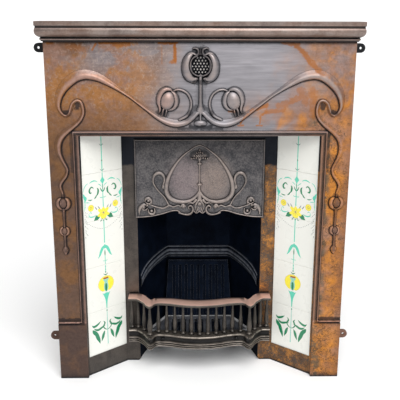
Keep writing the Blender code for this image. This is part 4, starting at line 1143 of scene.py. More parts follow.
@dataclass(frozen=True)
class DarkIron(Finish):
    """Blackened iron with rubbed crests and edges, and a share of rust at the right."""

    deep: Key = linear(52, 48, 46)
    pale: Key = linear(92, 84, 78)
    # Colour of rubbed crests and edges, and of the painted highlights
    worn: Key = linear(150, 136, 128)
    crest_share: float = 0.8
    edge_share: float = 0.6
    edge_reach: float = 0.0016
    # Colour of the dirt and painted shade in the crooks and along the shaded bands
    dirt_and_shade: Key = linear(12, 13, 16)
    dirt_and_shade_share: float = 1.0
    rust_from: float = 9.0
    painted_above: float = 9.0
    bare_above: float = 9.0
    blush: float = 0.0
    roughness: float = 0.42
    grain: float = 0.3
    grain_scale: float = 1.2
    cloudy: float = 0.55
    tinge: float = 0.0
    tinge_colour: Key = linear(138, 98, 74)
    painted: Key = linear(6, 12, 24)
    bare_dark: Key = linear(230, 184, 166)
    bare_pale: Key = linear(246, 206, 190)
    back_dark: Key = linear(36, 33, 33)
    back_pale: Key = linear(60, 51, 46)
    rust_bright: Key = linear(198, 134, 62)
    rust_dark: Key = linear(112, 78, 50)
    pit: Key = linear(40, 36, 32)
    # Heights between which shade is painted dark, or a highlight painted pale
    shaded_bands: tuple[Key, ...] = ()
    highlit_bands: tuple[Key, ...] = ()

    def build(self) -> bpy.types.Material:
        """Wire the material.

        Returns:
            The finished material.
        """
        made, board, shader, at = self.start()
        x, _, z = board.split(at)
        cloud = board.noise(at, 24.0, 6.0, 0.6, 0.3)
        grain = Effect.use(board, "cast_grain", Place=at, Scale=self.grain_scale)["Height"]
        tone = board.sum("ADD", board.both(cloud, self.cloudy), board.both(grain, 1 - self.cloudy))
        colour = board.mix(board.fit(tone, 0.38, 0.62), self.deep, self.pale)
        if self.tinge:
            patches = Effect.patches(board, board.stretched(at, (0.5, 1.0, 2.0)), 14.0, 0.45, 0.14)
            colour = board.mix(board.both(patches, self.tinge), colour, self.tinge_colour)
        if self.blush:
            colour = self.blushed(board, at, colour)
        rusty = 0.0
        if self.rust_from < 1:
            colour, rusty = self.rusted(board, at, x, colour)
        sky = self.open_sky(board, 0.014)
        marked = board.worn()
        # Rubbed crests, with painted highlights along the highlit bands
        crest = board.either(marked, self.bands(board, z, self.highlit_bands))
        crest = board.both(crest, board.fit(board.noise(at, 70.0, 4.0), 0.30, 0.60, 0.45, 1.0))
        edge = self.edges(board, at, sky, self.edge_reach)
        rubbed = board.either(board.both(crest, self.crest_share), board.both(edge, self.edge_share))
        colour = board.mix(rubbed, colour, self.worn)
        # Painted shade and dirt from occlusion, from the marks below nought and along the shaded bands
        dirt_and_shade = Effect.dirt_and_shade(board, at, sky, self.dirt_and_shade_share)
        patina_and_shade = board.either(board.sum("MULTIPLY", marked, -1.0), self.bands(board, z, self.shaded_bands))
        colour = board.mix(board.either(dirt_and_shade, board.both(patina_and_shade, 0.85)), colour, self.dirt_and_shade)
        ragged = board.both(board.sum("SUBTRACT", board.noise(at, 40.0, 4.0), 0.5), 0.02)
        painted = board.sum("ADD", z, ragged)
        painted = board.fit(painted, self.painted_above, self.painted_above + 0.008)
        colour = board.mix(painted, colour, self.painted)
        bare = board.fit(z, self.bare_above - 0.0008, self.bare_above)
        colour = board.mix(bare, colour, board.mix(cloud, self.bare_dark, self.bare_pale))
        facing = board.split(board.node("ShaderNodeNewGeometry").outputs["Normal"])[1]
        plain = board.mix(board.fit(tone, 0.38, 0.62), self.back_dark, self.back_pale)
        colour = board.mix(board.fit(facing, 0.08, 0.30), colour, plain)
        board.feed(shader.inputs["Base Color"], colour)
        rough = board.fit(tone, 0.35, 0.65, self.roughness - 0.05, self.roughness + 0.08)
        board.feed(shader.inputs["Roughness"], board.sum("ADD", rough, board.both(rusty, 0.2)))
        board.feed(shader.inputs["Normal"], board.bump(grain, self.grain, 0.0008))
        return made

    @staticmethod
    def bands(board: Board, z: Socket, spans: tuple[Key, ...]) -> Value:
        """Where the height lies in one of some spans, in metres.

        Args:
            board: The material's board.
            z: The place's Z.
            spans: Each span's foot and top.

        Returns:
            The spans' mask, or 0 if there are none.
        """
        whole = 0.0
        for low, high in spans:
            band = board.both(board.fit(z, low - 0.0008, low), board.fit(z, high + 0.0008, high))
            whole = board.either(whole, band)
        return whole

    def blushed(self, board: Board, at: Socket, colour: Socket) -> Socket:
        """A paler pinkish bloom in the heart of the hood.

        Args:
            board: The material's board.
            at: The place on the object.
            colour: The colour so far.

        Returns:
            The colour with the bloom.
        """
        tear = Effect.use(board, "torn", Place=at, Ragged=0.2)["Tear"]
        for across, tint in ((-0.044, linear(156, 140, 140)), (0.046, linear(162, 144, 134))):
            mark = Effect.use(board, "stain", Place=at, Centre=(across, HOOD_FACE, 0.638),
                              Size=(0.050, 0.05, 0.064), Tear=tear, Edge=0.60)["Mask"]
            speckle = board.fit(board.noise(at, 300.0, 4.0, 0.7), 0.36, 0.62, 0.35, 1.0)
            colour = board.mix(board.both(board.both(mark, speckle), self.blush), colour, tint)
        return colour

    def rusted(self, board: Board, at: Socket, x: Socket, colour: Socket) -> tuple[Socket, Socket]:
        """Speckled rust over the right-hand parts, in flakes and patches.

        Args:
            board: The material's board.
            at: The place on the object.
            x: Its X.
            colour: The colour so far.

        Returns:
            The colour, and how much rust covers it.
        """
        rusty = Effect.use(board, "rust", Place=at, Bright=self.rust_bright, Dark=self.rust_dark,
                           Pits=1.0)
        broad = Effect.patches(board, at, 22.0, 0.50, 0.12)
        fine = board.fit(board.noise(at, 230.0, 4.0, 0.65), 0.48, 0.56)
        cover = board.sum("ADD", board.both(broad, 0.55), board.both(fine, 0.6), clamp=True)
        cover = board.both(board.fit(x, self.rust_from, self.rust_from + 0.01), cover)
        colour = board.mix(cover, colour, rusty["Color"])
        return board.mix(board.both(cover, rusty["Pit"]), colour, self.pit), cover


@dataclass(frozen=True)
class Glaze(Finish):
    """Glossy tile glaze in one colour, with the faint drift of hand-mixed paint."""

    metallic: float = 0.0
    colour: Key = linear(242, 242, 238)
    drift: float = 0.05

    def build(self) -> bpy.types.Material:
        """Wire the material.

        Returns:
            The finished material.
        """
        made, board, shader, at = self.start()
        cloud = board.noise(at, 30.0, 4.0)
        darker = (*(part * (1 - self.drift) for part in self.colour[:3]), 1.0)
        board.feed(shader.inputs["Base Color"], board.mix(cloud, self.colour, darker))
        board.feed(shader.inputs["Roughness"], board.fit(cloud, 0.3, 0.7, 0.26, 0.34))
        shader.inputs["Coat Weight"].default_value = 0.25
        shader.inputs["Coat Roughness"].default_value = 0.16
        ripple = board.noise(at, 22.0, 2.0)
        board.feed(shader.inputs["Normal"], board.bump(ripple, 0.06, 0.002))
        return made


@dataclass(frozen=True)
class Biscuit(Finish):
    """Unglazed fired clay, for the backs of the tiles."""

    metallic: float = 0.0
    dark: Key = linear(150, 128, 104)
    pale: Key = linear(186, 164, 138)

    def build(self) -> bpy.types.Material:
        """Wire the material.

        Returns:
            The finished material.
        """
        made, board, shader, at = self.start()
        grain = board.noise(at, 160.0, 6.0, 0.6)
        tone = board.mix(board.fit(grain, 0.35, 0.65), self.dark, self.pale)
        board.feed(shader.inputs["Base Color"], tone)
        board.feed(shader.inputs["Roughness"], board.fit(grain, 0.3, 0.7, 0.78, 0.92))
        board.feed(shader.inputs["Normal"], board.bump(grain, 0.3, 0.0006))
        return made


@dataclass
class SurroundCasting:
    """The surround: header, jambs, plinths, frame moulding, lugs and all its raised work."""

    finish: bpy.types.Material
    trail: tuple[Key, ...] = (
        (0, 874, 14, 7), (13, 866, 16, 8.5), (26, 853.5, 18.5, 10), (45, 841, 21, 11),
        (71, 836.5, 23, 12), (97, 841.6, 21, 11), (124, 855, 16.5, 9.5), (147, 871, 12.5, 8),
        (173, 890, 9.5, 7), (206, 915, 8.5, 6.5), (231, 932, 11, 7), (260, 951, 16.5, 8),
        (290, 968, 23, 9.5), (314, 976.5, 27, 10), (338, 979, 29, 10.5), (362, 972.5, 30, 10.5),
        (384.5, 957, 30, 10), (403, 937, 27, 9.5), (414, 915, 22, 9), (417.5, 894, 16, 8),
        (415, 877, 11.5, 7), (407, 864.5, 9, 6.5), (396.5, 858, 8.5, 6.5),
        (385.5, 864.5, 8.5, 6.5), (380, 879.5, 9, 6.5), (374, 894, 10, 7), (363, 902, 10.5, 7),
        (352, 899, 10.5, 7), (346.5, 884, 10.5, 7), (346, 867, 11, 7), (353, 850, 11.5, 7),
        (366, 835.5, 13, 7.5), (386, 820, 16, 8), (404.5, 806, 19.5, 8.5), (418, 790, 21.5, 9),
        (424, 770.5, 21, 9), (423, 750, 17.5, 8), (417, 733, 13, 7.5), (409, 716, 10.5, 7),
        (402, 702, 9.5, 7), (400.5, 692, 9.5, 7), (406, 677, 11.5, 7), (417, 663, 12.5, 7),
        (424, 649, 11.5, 6.5), (422.5, 636, 9.5, 6), (418.5, 625, 8, 5.5), (417, 612, 7, 5),
    )
    curl: tuple[Key, ...] = (
        (62, 846, 9, 6), (40, 859, 8, 6.5), (29, 880, 7.2, 6.5), (27.5, 901, 7, 6.5),
        (36.5, 922, 7, 6.5), (52, 933, 7, 6.5), (68, 935.5, 6.5, 6), (80, 930, 5.5, 5.5),
    )

    def shell(self) -> Piece:
        """The casting without its raised work: its field is one flat face.

        Returns:
            The casting.
        """
        piece = Bench.copy_solid("surround_front", "casting_shell")
        near = 0.0002
        raised = []
        for face in piece.data.polygons:
            x, y, z = face.center
            in_field = z > FRAME_FOOT + near and (
                abs(x) > FRAME_OUTER + near or z > FRAME_TOP + near)
            inside = abs(x) < BODY_HALF - near and z < BODY_HEIGHT - near
            if y < FIELD_Y + near and in_field and inside:
                raised.append(face.index)
        Bench.choose_faces(piece, raised)
        bpy.ops.mesh.delete(type="FACE")
        bpy.ops.mesh.select_mode(type="EDGE")
        bpy.ops.mesh.select_non_manifold(extend=False)
        bpy.ops.mesh.edge_face_add()
        bpy.ops.object.mode_set(mode="OBJECT")
        Bench.outward(piece)
        Bench.whole_faces(piece)
        Bench.soften(piece, 0.0008, 50)
        Bench.shade(piece, 30)
        return piece

    def side_bud(self) -> list[Piece]:
        """The bud at the curl's end: a round heart held by crescent petals.

        Returns:
            Its pieces.
        """
        stems = (
            Stem(((83, 932, 5, 8), (90, 936, 11, 10), (101.5, 936, 15, 12), (112.5, 928.5, 18, 13),
                  (119.5, 915, 18, 13), (121.5, 900, 16, 12), (119.5, 886, 10, 9),
                  (119, 875, 7, 7.5), (123, 866, 4, 5))),
            Stem(((85, 930, 6, 8), (77, 923, 13, 11), (72.5, 912, 16, 12), (71.5, 900, 16.5, 12),
                  (74.5, 888, 14, 11), (83, 879, 10, 8), (94, 876, 6, 6))),
            Stem(((107, 882, 8, 8), (111, 871, 7, 7.5), (113, 860, 5, 5), (119, 852, 3, 3))),
            Stem(((99, 879, 6, 7), (101, 868, 6, 6), (104, 857, 4, 4))),
        )
        made = [stem.build(f"bud_leaf_{i}", FIELD_Y) for i, stem in enumerate(stems)]
        made.append(Boss(96.5, 904, 24, 29, 17.5, turn=-16, polish=0.4).build("bud_heart", FIELD_Y))
        return made

    def drops(self) -> list[Piece]:
        """Two buds and a pointed drop that hang down the jamb.

        Returns:
            Its pieces.
        """
        made = []
        middle = 416.5
        petal = ((8.5, 15, 9, 7), (13.5, 10.5, 13, 9), (16, 2, 14.5, 9.5), (14.5, -7, 14, 9),
                 (9.5, -14, 11, 8), (3, -19, 6, 6))
        for number, (z, share) in enumerate(((591, 1.0), (503, 0.72))):
            made.append(Boss(middle, z + share, 12.5 * share, 16 * share, 15 * share, polish=0.3)
                        .build(f"drop_heart_{number}", FIELD_Y))
            for side in (-1, 1):
                keys = tuple((middle + side * x * share, z + up * share, wide * share, rise * share)
                             for x, up, wide, rise in petal)
                made.append(Stem(keys, step=1.4).build(f"drop_petal_{number}_{side}", FIELD_Y))
        for number, (top, low) in enumerate(((574, 516), (492, 450))):
            stem = Stem(((middle, top, 8.5, 6), (middle, (top + low) / 2, 6, 5),
                         (middle, low, 7.5, 5)))
            made.append(stem.build(f"drop_stem_{number}", FIELD_Y))
        point = Stem(((middle, 452, 8, 5), (middle, 447, 17, 8), (middle, 441, 19.5, 8.5),
                      (middle, 434, 14, 7), (middle, 428, 6, 4), (middle, 425, 2, 2)), step=1.2)
        made.append(point.build("point_drop", FIELD_Y))
        return made

    def fruit_side(self) -> list[Piece]:
        """Half of the split fruit: fat lobe, bright lip and curled sepal.

        Returns:
            Its pieces.
        """
        stems = (
            Stem(((24, 1037, 12, 11), (33, 1028.5, 22, 16), (38.5, 1012, 29, 18.5),
                  (39, 996, 31, 19.5), (36, 981, 31, 18.5), (29.5, 970.5, 26, 16),
                  (20, 966.5, 18, 13), (12, 967.5, 12, 10)), around=16),
            Stem(((-1, 978, 4, 11), (6, 975.5, 4.6, 13), (15, 978.5, 5, 17), (24, 986, 5, 20.5),
                  (29, 996, 5, 22), (30, 1008, 5, 22), (26.5, 1020, 5, 20.5), (18.5, 1028.5, 5, 17),
                  (9, 1032, 5, 12)), step=1.6),
            Stem(((41, 1031, 5, 9), (33, 1038, 8, 11), (22, 1039, 9, 12), (12, 1034, 8, 12),
                  (6, 1041, 7, 11), (8, 1050, 6.5, 9), (17, 1054, 5, 7), (23, 1051, 3, 5)),
                 step=1.5),
            Stem(((11, 964, 4, 5), (17, 957, 6, 6), (25, 957, 5, 5), (31, 961, 3, 4)), step=1.5),
        )
        return [stem.build(f"fruit_part_{i}", FIELD_Y) for i, stem in enumerate(stems)]

    def fruit_middle(self) -> list[Piece]:
        """The bed, painted dark as shade, its seeds, the crown, the stalk and the low bud.

        Returns:
            Its pieces.
        """
        # The bed is a low oval marked wholly below nought: a dark sheet of painted shade under the seeds
        made = [Boss(0, 1005, 29, 29, 5, polish=-9.0, shine=-1.0).build("seed_bed", FIELD_Y)]
        pitch, drop = 9.6, 8.3
        for row, count in enumerate((3, 4, 5, 6, 5, 4)):
            for place in range(count):
                across = (place - (count - 1) / 2) * pitch
                seed = Boss(across, 1027 - row * drop, 4.2, 4.2, 13 - abs(across) * 0.08, sides=12,
                            polish=0.3, shine=2.0)
                made.append(seed.build(f"seed_{row}_{place}", FIELD_Y))
        for number, across in enumerate((-7, 0, 7)):
            made.append(Stem(((across * 0.5, 1036, 5, 9), (across, 1047, 3.4, 7),
                              (across * 1.3, 1053, 1.6, 4))).build(f"crown_{number}", FIELD_Y))
        stalk = Stem(((0, 976, 15, 9), (0, 962, 10.5, 8), (0, 930, 9.5, 8), (0, 900, 10.5, 8),
                      (0, 886, 15, 9), (0, 877, 24, 10), (0, 870, 22, 9), (0, 865, 12, 7)))
        made.append(stalk.build("fruit_stalk", FIELD_Y))
        low = Stem(((0, 866, 8, 8), (0, 856, 6.5, 7), (0, 844, 8, 8)))
        made.append(low.build("low_stem", FIELD_Y))
        made.append(Boss(0, 836, 20, 10.5, 10).build("low_bud", FIELD_Y))
        return made

    def beads(self) -> list[Piece]:
        """A fine bead along the top of each plinth."""
        keys = ((384, 197.5, 4.6, 2.4), (415, 197.5, 4.6, 2.4), (447.5, 197.5, 4.6, 2.4))
        return [Stem(keys, step=20).build("plinth_bead", PLINTH_Y)]

    def build(self) -> None:
        """Model the whole casting."""
        half = [Stem(self.trail, soft_left=0.75, soft_right=0.0).build("trail", FIELD_Y),
                Stem(self.curl).build("curl", FIELD_Y)]
        half += self.side_bud() + self.drops() + self.fruit_side() + self.beads()
        sides = Bench.both_sides(Bench.join("raised_sides", half))
        raised = Bench.join("raised_work", [sides, *self.fruit_middle()])
        Bench.slice_behind(raised, FIELD_Y + BURIED)
        Bench.shade(raised, 60)
        whole = Bench.join("surround_casting", [self.shell(), raised])
        Bench.hand_in(whole, self.finish, "surround_iron", "surround_front")


@dataclass
class MantelShelf:
    """The moulded shelf, returned at both ends and hollow behind."""

    finish: bpy.types.Material
    wall: float = 0.003
    top_wall: float = 0.008
    front_reach: float = 0.030
    side_reach: float = SHELF_SIDE
    # Down from the top in millimetres, and share of the reach
    profile: tuple[Key, ...] = (
        (0.0, 0.93), (0.5, 0.97), (1.6, 1.0), (11.0, 1.0), (12.3, 0.985), (12.9, 0.95),
        (13.2, 0.86), (18.0, 0.86), (18.4, 0.90), (19.6, 0.93), (21.5, 0.955), (24.0, 0.985),
        (27.0, 1.0), (30.0, 0.99), (33.0, 0.955), (36.0, 0.89), (38.5, 0.80), (40.8, 0.67),
        (42.6, 0.52), (43.8, 0.38), (44.4, 0.27), (46.4, 0.25), (46.9, 0.31), (48.0, 0.35),
        (49.7, 0.37), (51.2, 0.35), (52.2, 0.30), (52.8, 0.20), (56.0, 0.18),
    )

    def build(self) -> None:
        """Stack the profile's outlines, then hollow the casting."""
        back = PLINTH_Y + RETURN_DEPTH
        rings = []
        for down, share in self.profile:
            x = BODY_HALF + self.side_reach * share
            front = PLINTH_Y - self.front_reach * share
            z = SHELF_HIGH.z - down * MM
            rings.append([(-x, back, z), (-x, front, z), (x, front, z), (x, back, z)])
        piece = Bench.loft("shelf_casting", rings)
        bpy.ops.mesh.primitive_cube_add(size=1.0)
        hollow = Bench.named("hollow")
        low = Vector((-BODY_HALF + self.wall, PLINTH_Y + self.wall, SHELF_LOW.z - 0.05))
        high = Vector((BODY_HALF - self.wall, back + 0.05, SHELF_HIGH.z - self.top_wall))
        hollow.location = (low + high) / 2
        hollow.scale = high - low
        Bench.settle(hollow)
        Bench.apply(piece, "BOOLEAN", object=hollow, operation="DIFFERENCE", solver="EXACT")
        bpy.data.objects.remove(hollow)
        Bench.soften(piece, 0.0006, 60)
        Bench.shade(piece, 32)
        Bench.hand_in(piece, self.finish, "shelf_iron", "mantel_shelf")


@dataclass
class PlainCasting:
    """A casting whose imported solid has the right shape: it gets soft edges and its finish."""

    node: str
    name: str
    slot: str
    finish: bpy.types.Material
    edge: float = 0.0008
    angle: float = 40.0

    def build(self) -> None:
        """Copy the solid and round its edges."""
        piece = Bench.copy_solid(self.node, self.name)
        Bench.whole_faces(piece)
        Bench.soften(piece, self.edge, self.angle)
        Bench.shade(piece, 35)
        Bench.hand_in(piece, self.finish, self.slot, self.node)


@dataclass
class SlottedGrate:
    """The grate: its slotted plate with a narrow raised rim, rubbed pale."""

    finish: bpy.types.Material
    front_y: float = STILE_Y - 0.035
    shoulder_y: float = CHAMBER_FRONT + 0.006
    back_y: float = PLINTH_Y + 0.25796
    wide_half: float = 0.1775
    front_half: float = 0.1485
    back_half: float = 0.121
    level: float = 0.100
    rim_width: float = 0.011
    rim_height: float = 0.0022

    def rim(self) -> Piece:
        """A low ridge just inside the plate's edge.

        Returns:
            The ridge.
        """
        right = [(self.front_half, self.front_y), (self.front_half, self.shoulder_y),
                 (self.wide_half, self.shoulder_y + 0.010), (self.back_half, self.back_y)]
        ring = right + [(-x, y) for x, y in reversed(right)]
        centre = Vector((0, (self.front_y + self.back_y) / 2))
        rings, worn = [], []
        slope = 0.0008
        for inset, high in ((slope, 0.0), (2 * slope, 1.0), (self.rim_width - slope, 1.0),
                            (self.rim_width, 0.0)):
            up = self.level - 0.001 + high * (self.rim_height + 0.001)
            spots = [Vector(point) for point in ring]
            spots = [spot + (centre - spot).normalized() * inset * 1.25 for spot in spots]
            rings.append([(spot.x, spot.y, up) for spot in spots])
            worn += [high] * len(ring)
        return Bench.loft("grate_rim", rings, worn, closed=True)

    def build(self) -> None:
        """Model the grate."""
        plate = Bench.copy_solid("bottom_grate", "grate_plate")
        Bench.whole_faces(plate)
        Bench.soften(plate, 0.0012, 40)
        whole = Bench.join("slotted_grate", [plate, self.rim()])
        Bench.shade(whole, 35)
        Bench.hand_in(whole, self.finish, "grate_black", "bottom_grate")


@dataclass
class FireChamber:
    """The three-sided chamber with its moulded band and its leaning ribbed slab."""

    finish: bpy.types.Material
    front_y: float = CHAMBER_FRONT
    back_y: float = PLINTH_Y + 0.35997
    front_half: float = 0.2018
    back_half: float = 0.1135
    bow: float = 0.008
    wall: float = 0.0065
    height: float = 0.7999
    band_foot: float = 0.290
    band_height: float = 0.043
    band_fall: float = 0.018
    end_fall: float = 0.026
    slab_top: float = 0.277
    slab_top_half: float = 0.108
    slab_foot_half: float = 0.127
    slab_lean: float = math.radians(18.0)
    slab_thick: float = 0.012
    grooves: int = 9
    groove_depth: float = 0.0045
    steps: int = 20
    # The band's section: share of its height, how far it stands out in millimetres, how rubbed, the
    # ridges' rubbing also a painted highlight
    section: tuple[Key, ...] = (
        (0.0, -1.5, 0), (0.01, 0.8, 0), (0.04, 2.2, 0.8), (0.07, 2.2, 0.6), (0.10, 0.8, 0),
        (0.14, 0.8, 0), (0.17, 3.2, 0), (0.22, 5.6, 0.3), (0.30, 6.9, 0.8), (0.38, 6.6, 0.5),
        (0.44, 4.8, 0), (0.48, 4.8, 0), (0.53, 6.4, 0.6), (0.61, 7.0, 1), (0.69, 6.2, 0.5),
        (0.74, 4.0, 0), (0.77, 1.4, 0), (0.83, 1.0, 0), (0.87, 1.6, 0.3), (0.90, 3.2, 1),
        (0.95, 3.0, 0.8), (0.98, 1.2, 0), (1.0, -1.5, 0),
    )

    def plan(self, outward: float) -> list[Vector]:
        """Half of the chamber's plan from the front to the back corner, moved outwards.

        Args:
            outward: How far outwards, in metres.

        Returns:
            The line's points.
        """
        front = Vector((self.front_half, self.front_y))
        back = Vector((self.back_half, self.back_y))
        along = (back - front).normalized()
        out = Vector((along.y, -along.x))
        line = []
        for i in range(self.steps + 1):
            share = i / self.steps
            line.append(front.lerp(back, share) + out * (self.bow * 4 * share * (1 - share) + outward))
        line[0] += along * (self.front_y - line[0].y) / along.y
        line[-1].x += outward * 0.5
        line[-1].y = self.back_y + outward
        return line

    def walls(self) -> Piece:
        """The bare walls.

        Returns:
            The walls.
        """
        inner, outer = self.plan(0.0), self.plan(self.wall)
        ring = [(p.x, p.y) for p in inner] + [(-p.x, p.y) for p in reversed(inner)]
        ring += [(-p.x, p.y) for p in outer] + [(p.x, p.y) for p in reversed(outer)]
        rings = [[(x, y, z) for x, y in ring] for z in (0.0, self.height)]
        piece = Bench.loft("chamber_walls", rings)
        Bench.soften(piece, 0.0008, 40)
        return piece

    def band(self) -> Piece:
        """The band, carried round the walls and lower at its front ends.

        Returns:
            The band.
        """
        plans = [self.plan(-out * MM) for _, out, _ in self.section]
        first = 0.07 * self.steps
        stations = [(1, first)] + [(1, i) for i in range(2, self.steps + 1)]
        stations += [(-1, i) for _, i in reversed(stations)]
        rings = []
        for side, i in stations:
            front = 1 - i / self.steps
            fall = self.band_fall * front ** 1.5 + self.end_fall * front ** 7
            near = int(i)
            spots = [line[near].lerp(line[min(near + 1, self.steps)], i - near) for line in plans]
            rings.append([(side * spot.x, spot.y, self.band_foot + share * self.band_height - fall)
                          for spot, (share, _, _) in zip(spots, self.section)])
        worn = [rubbed for _, _, rubbed in self.section] * len(rings)
        return Bench.loft("chamber_band", rings, worn)

    def slab(self) -> Piece:
        """The slab with a lip along its top and round-topped grooves.

        Returns:
            The slab.
        """
        top = self.slab_top / math.cos(self.slab_lean)
        thick = self.slab_thick
        outline = [(-self.slab_foot_half, 0.006), (self.slab_foot_half, 0.006),
                   (self.slab_top_half, top), (-self.slab_top_half, top)]
        sink, round_up = 0.003, top - 0.022
        piece = Bench.loft("chamber_slab", [[(x, y, up) for x, up in outline] for y in (-thick, sink)])
        pitch = (2 * self.slab_top_half - 0.016) / self.grooves
        radius = pitch * 0.21
        cutters = []
        for i in range(self.grooves):
            x = (i - (self.grooves - 1) / 2) * pitch
            turns = [math.radians(turn) for turn in range(20, 180, 20)]
            ring = [(x + radius, 0.0), (x + radius, round_up)]
            ring += [(x + radius * math.cos(turn), round_up + radius * math.sin(turn))
                     for turn in turns]
            ring += [(x - radius, round_up), (x - radius, 0.0)]
            rings = [[(across, y, up) for across, up in ring]
                     for y in (-thick - 0.01, -thick + self.groove_depth)]
            cutters.append(Bench.loft("groove", rings))
        cutter = Bench.join("groove", cutters)
        Bench.apply(piece, "BOOLEAN", object=cutter, operation="DIFFERENCE", solver="EXACT")
        bpy.data.objects.remove(cutter)
        lip = ((-0.0045, 0.0), (-0.0045, 0.0045), (0.003, 0.0045), (0.003, 0.0))
        rim = Bench.loft("slab_lip", [
            [(side * (self.slab_top_half + 0.001), -thick + y + 0.0005, top - 0.004 + z) for y, z in lip]
            for side in (-1, 1)])
        piece = Bench.join("chamber_slab", [piece, rim])
        Bench.soften(piece, 0.0007, 50)
        piece.matrix_world = (
            Matrix.Translation((0, self.back_y - self.slab_top * math.tan(self.slab_lean), 0))
            @ Matrix.Rotation(-self.slab_lean, 4, "X"))
        return Bench.settle(piece)

    def build(self) -> None:
        """Model the chamber as one casting."""
        whole = Bench.join("fire_chamber", [self.walls(), self.band(), self.slab()])
        Bench.shade(whole, 32)
        Bench.hand_in(whole, self.finish, "chamber_black", "fireback")


class Paint(Enum):
    """Colours of the painted tiles, with their place among a tile's materials."""

    GLAZE = 0
    TEAL = 1
    GREEN = 2
    YELLOW = 3
    BROWN = 4
    GREY = 5
    AMBER = 6
    PALE_TEAL = 7
    BISCUIT = 8


@dataclass(frozen=True)
class Stroke:
    """One brush stroke on the tiles: across, up and width in millimetres."""

    paint: Paint
    keys: tuple[Key, ...]
    both: bool = True
    step: float = 2.5

    def outline(self, flip: bool) -> list[tuple[float, float]]:
        """The stroke's edge, on its own side or the other.

        Args:
            flip: Whether it lies on the other side.

        Returns:
            The edge's points.
        """
        path = smooth_path(list(self.keys), self.step)
        left, right = [], []
        for i, (x, z, width) in enumerate(path):
            before, after = path[max(i - 1, 0)], path[min(i + 1, len(path) - 1)]
            along = Vector((after[0] - before[0], after[1] - before[1])).normalized()
            half = max(width, 0.3) / 2
            left.append((x - along.y * half, z + along.x * half))
            right.append((x + along.y * half, z - along.x * half))
        edge = left + right[::-1]
        return [(-x, z) for x, z in edge] if flip else edge


@dataclass(frozen=True)
class Spot:
    """A painted oval: across, up, half width and half height in millimetres."""

    paint: Paint
    across: float
    up: float
    wide: float
    tall: float
    both: bool = True
    turn: float = 0.0

    def outline(self, flip: bool) -> list[tuple[float, float]]:
        """The oval's edge.

        Args:
            flip: Whether it lies on the other side.

        Returns:
            The edge's points.
        """
        count = 8 if max(self.wide, self.tall) < 2 else 26
        lean = math.radians(self.turn)
        edge = []
        for i in range(count):
            angle = math.tau * i / count
            x, z = self.wide * math.cos(angle), self.tall * math.sin(angle)
            edge.append((self.across + x * math.cos(lean) - z * math.sin(lean),
                         self.up + x * math.sin(lean) + z * math.cos(lean)))
        return [(-x, z) for x, z in edge] if flip else edge


Mark = Stroke | Spot


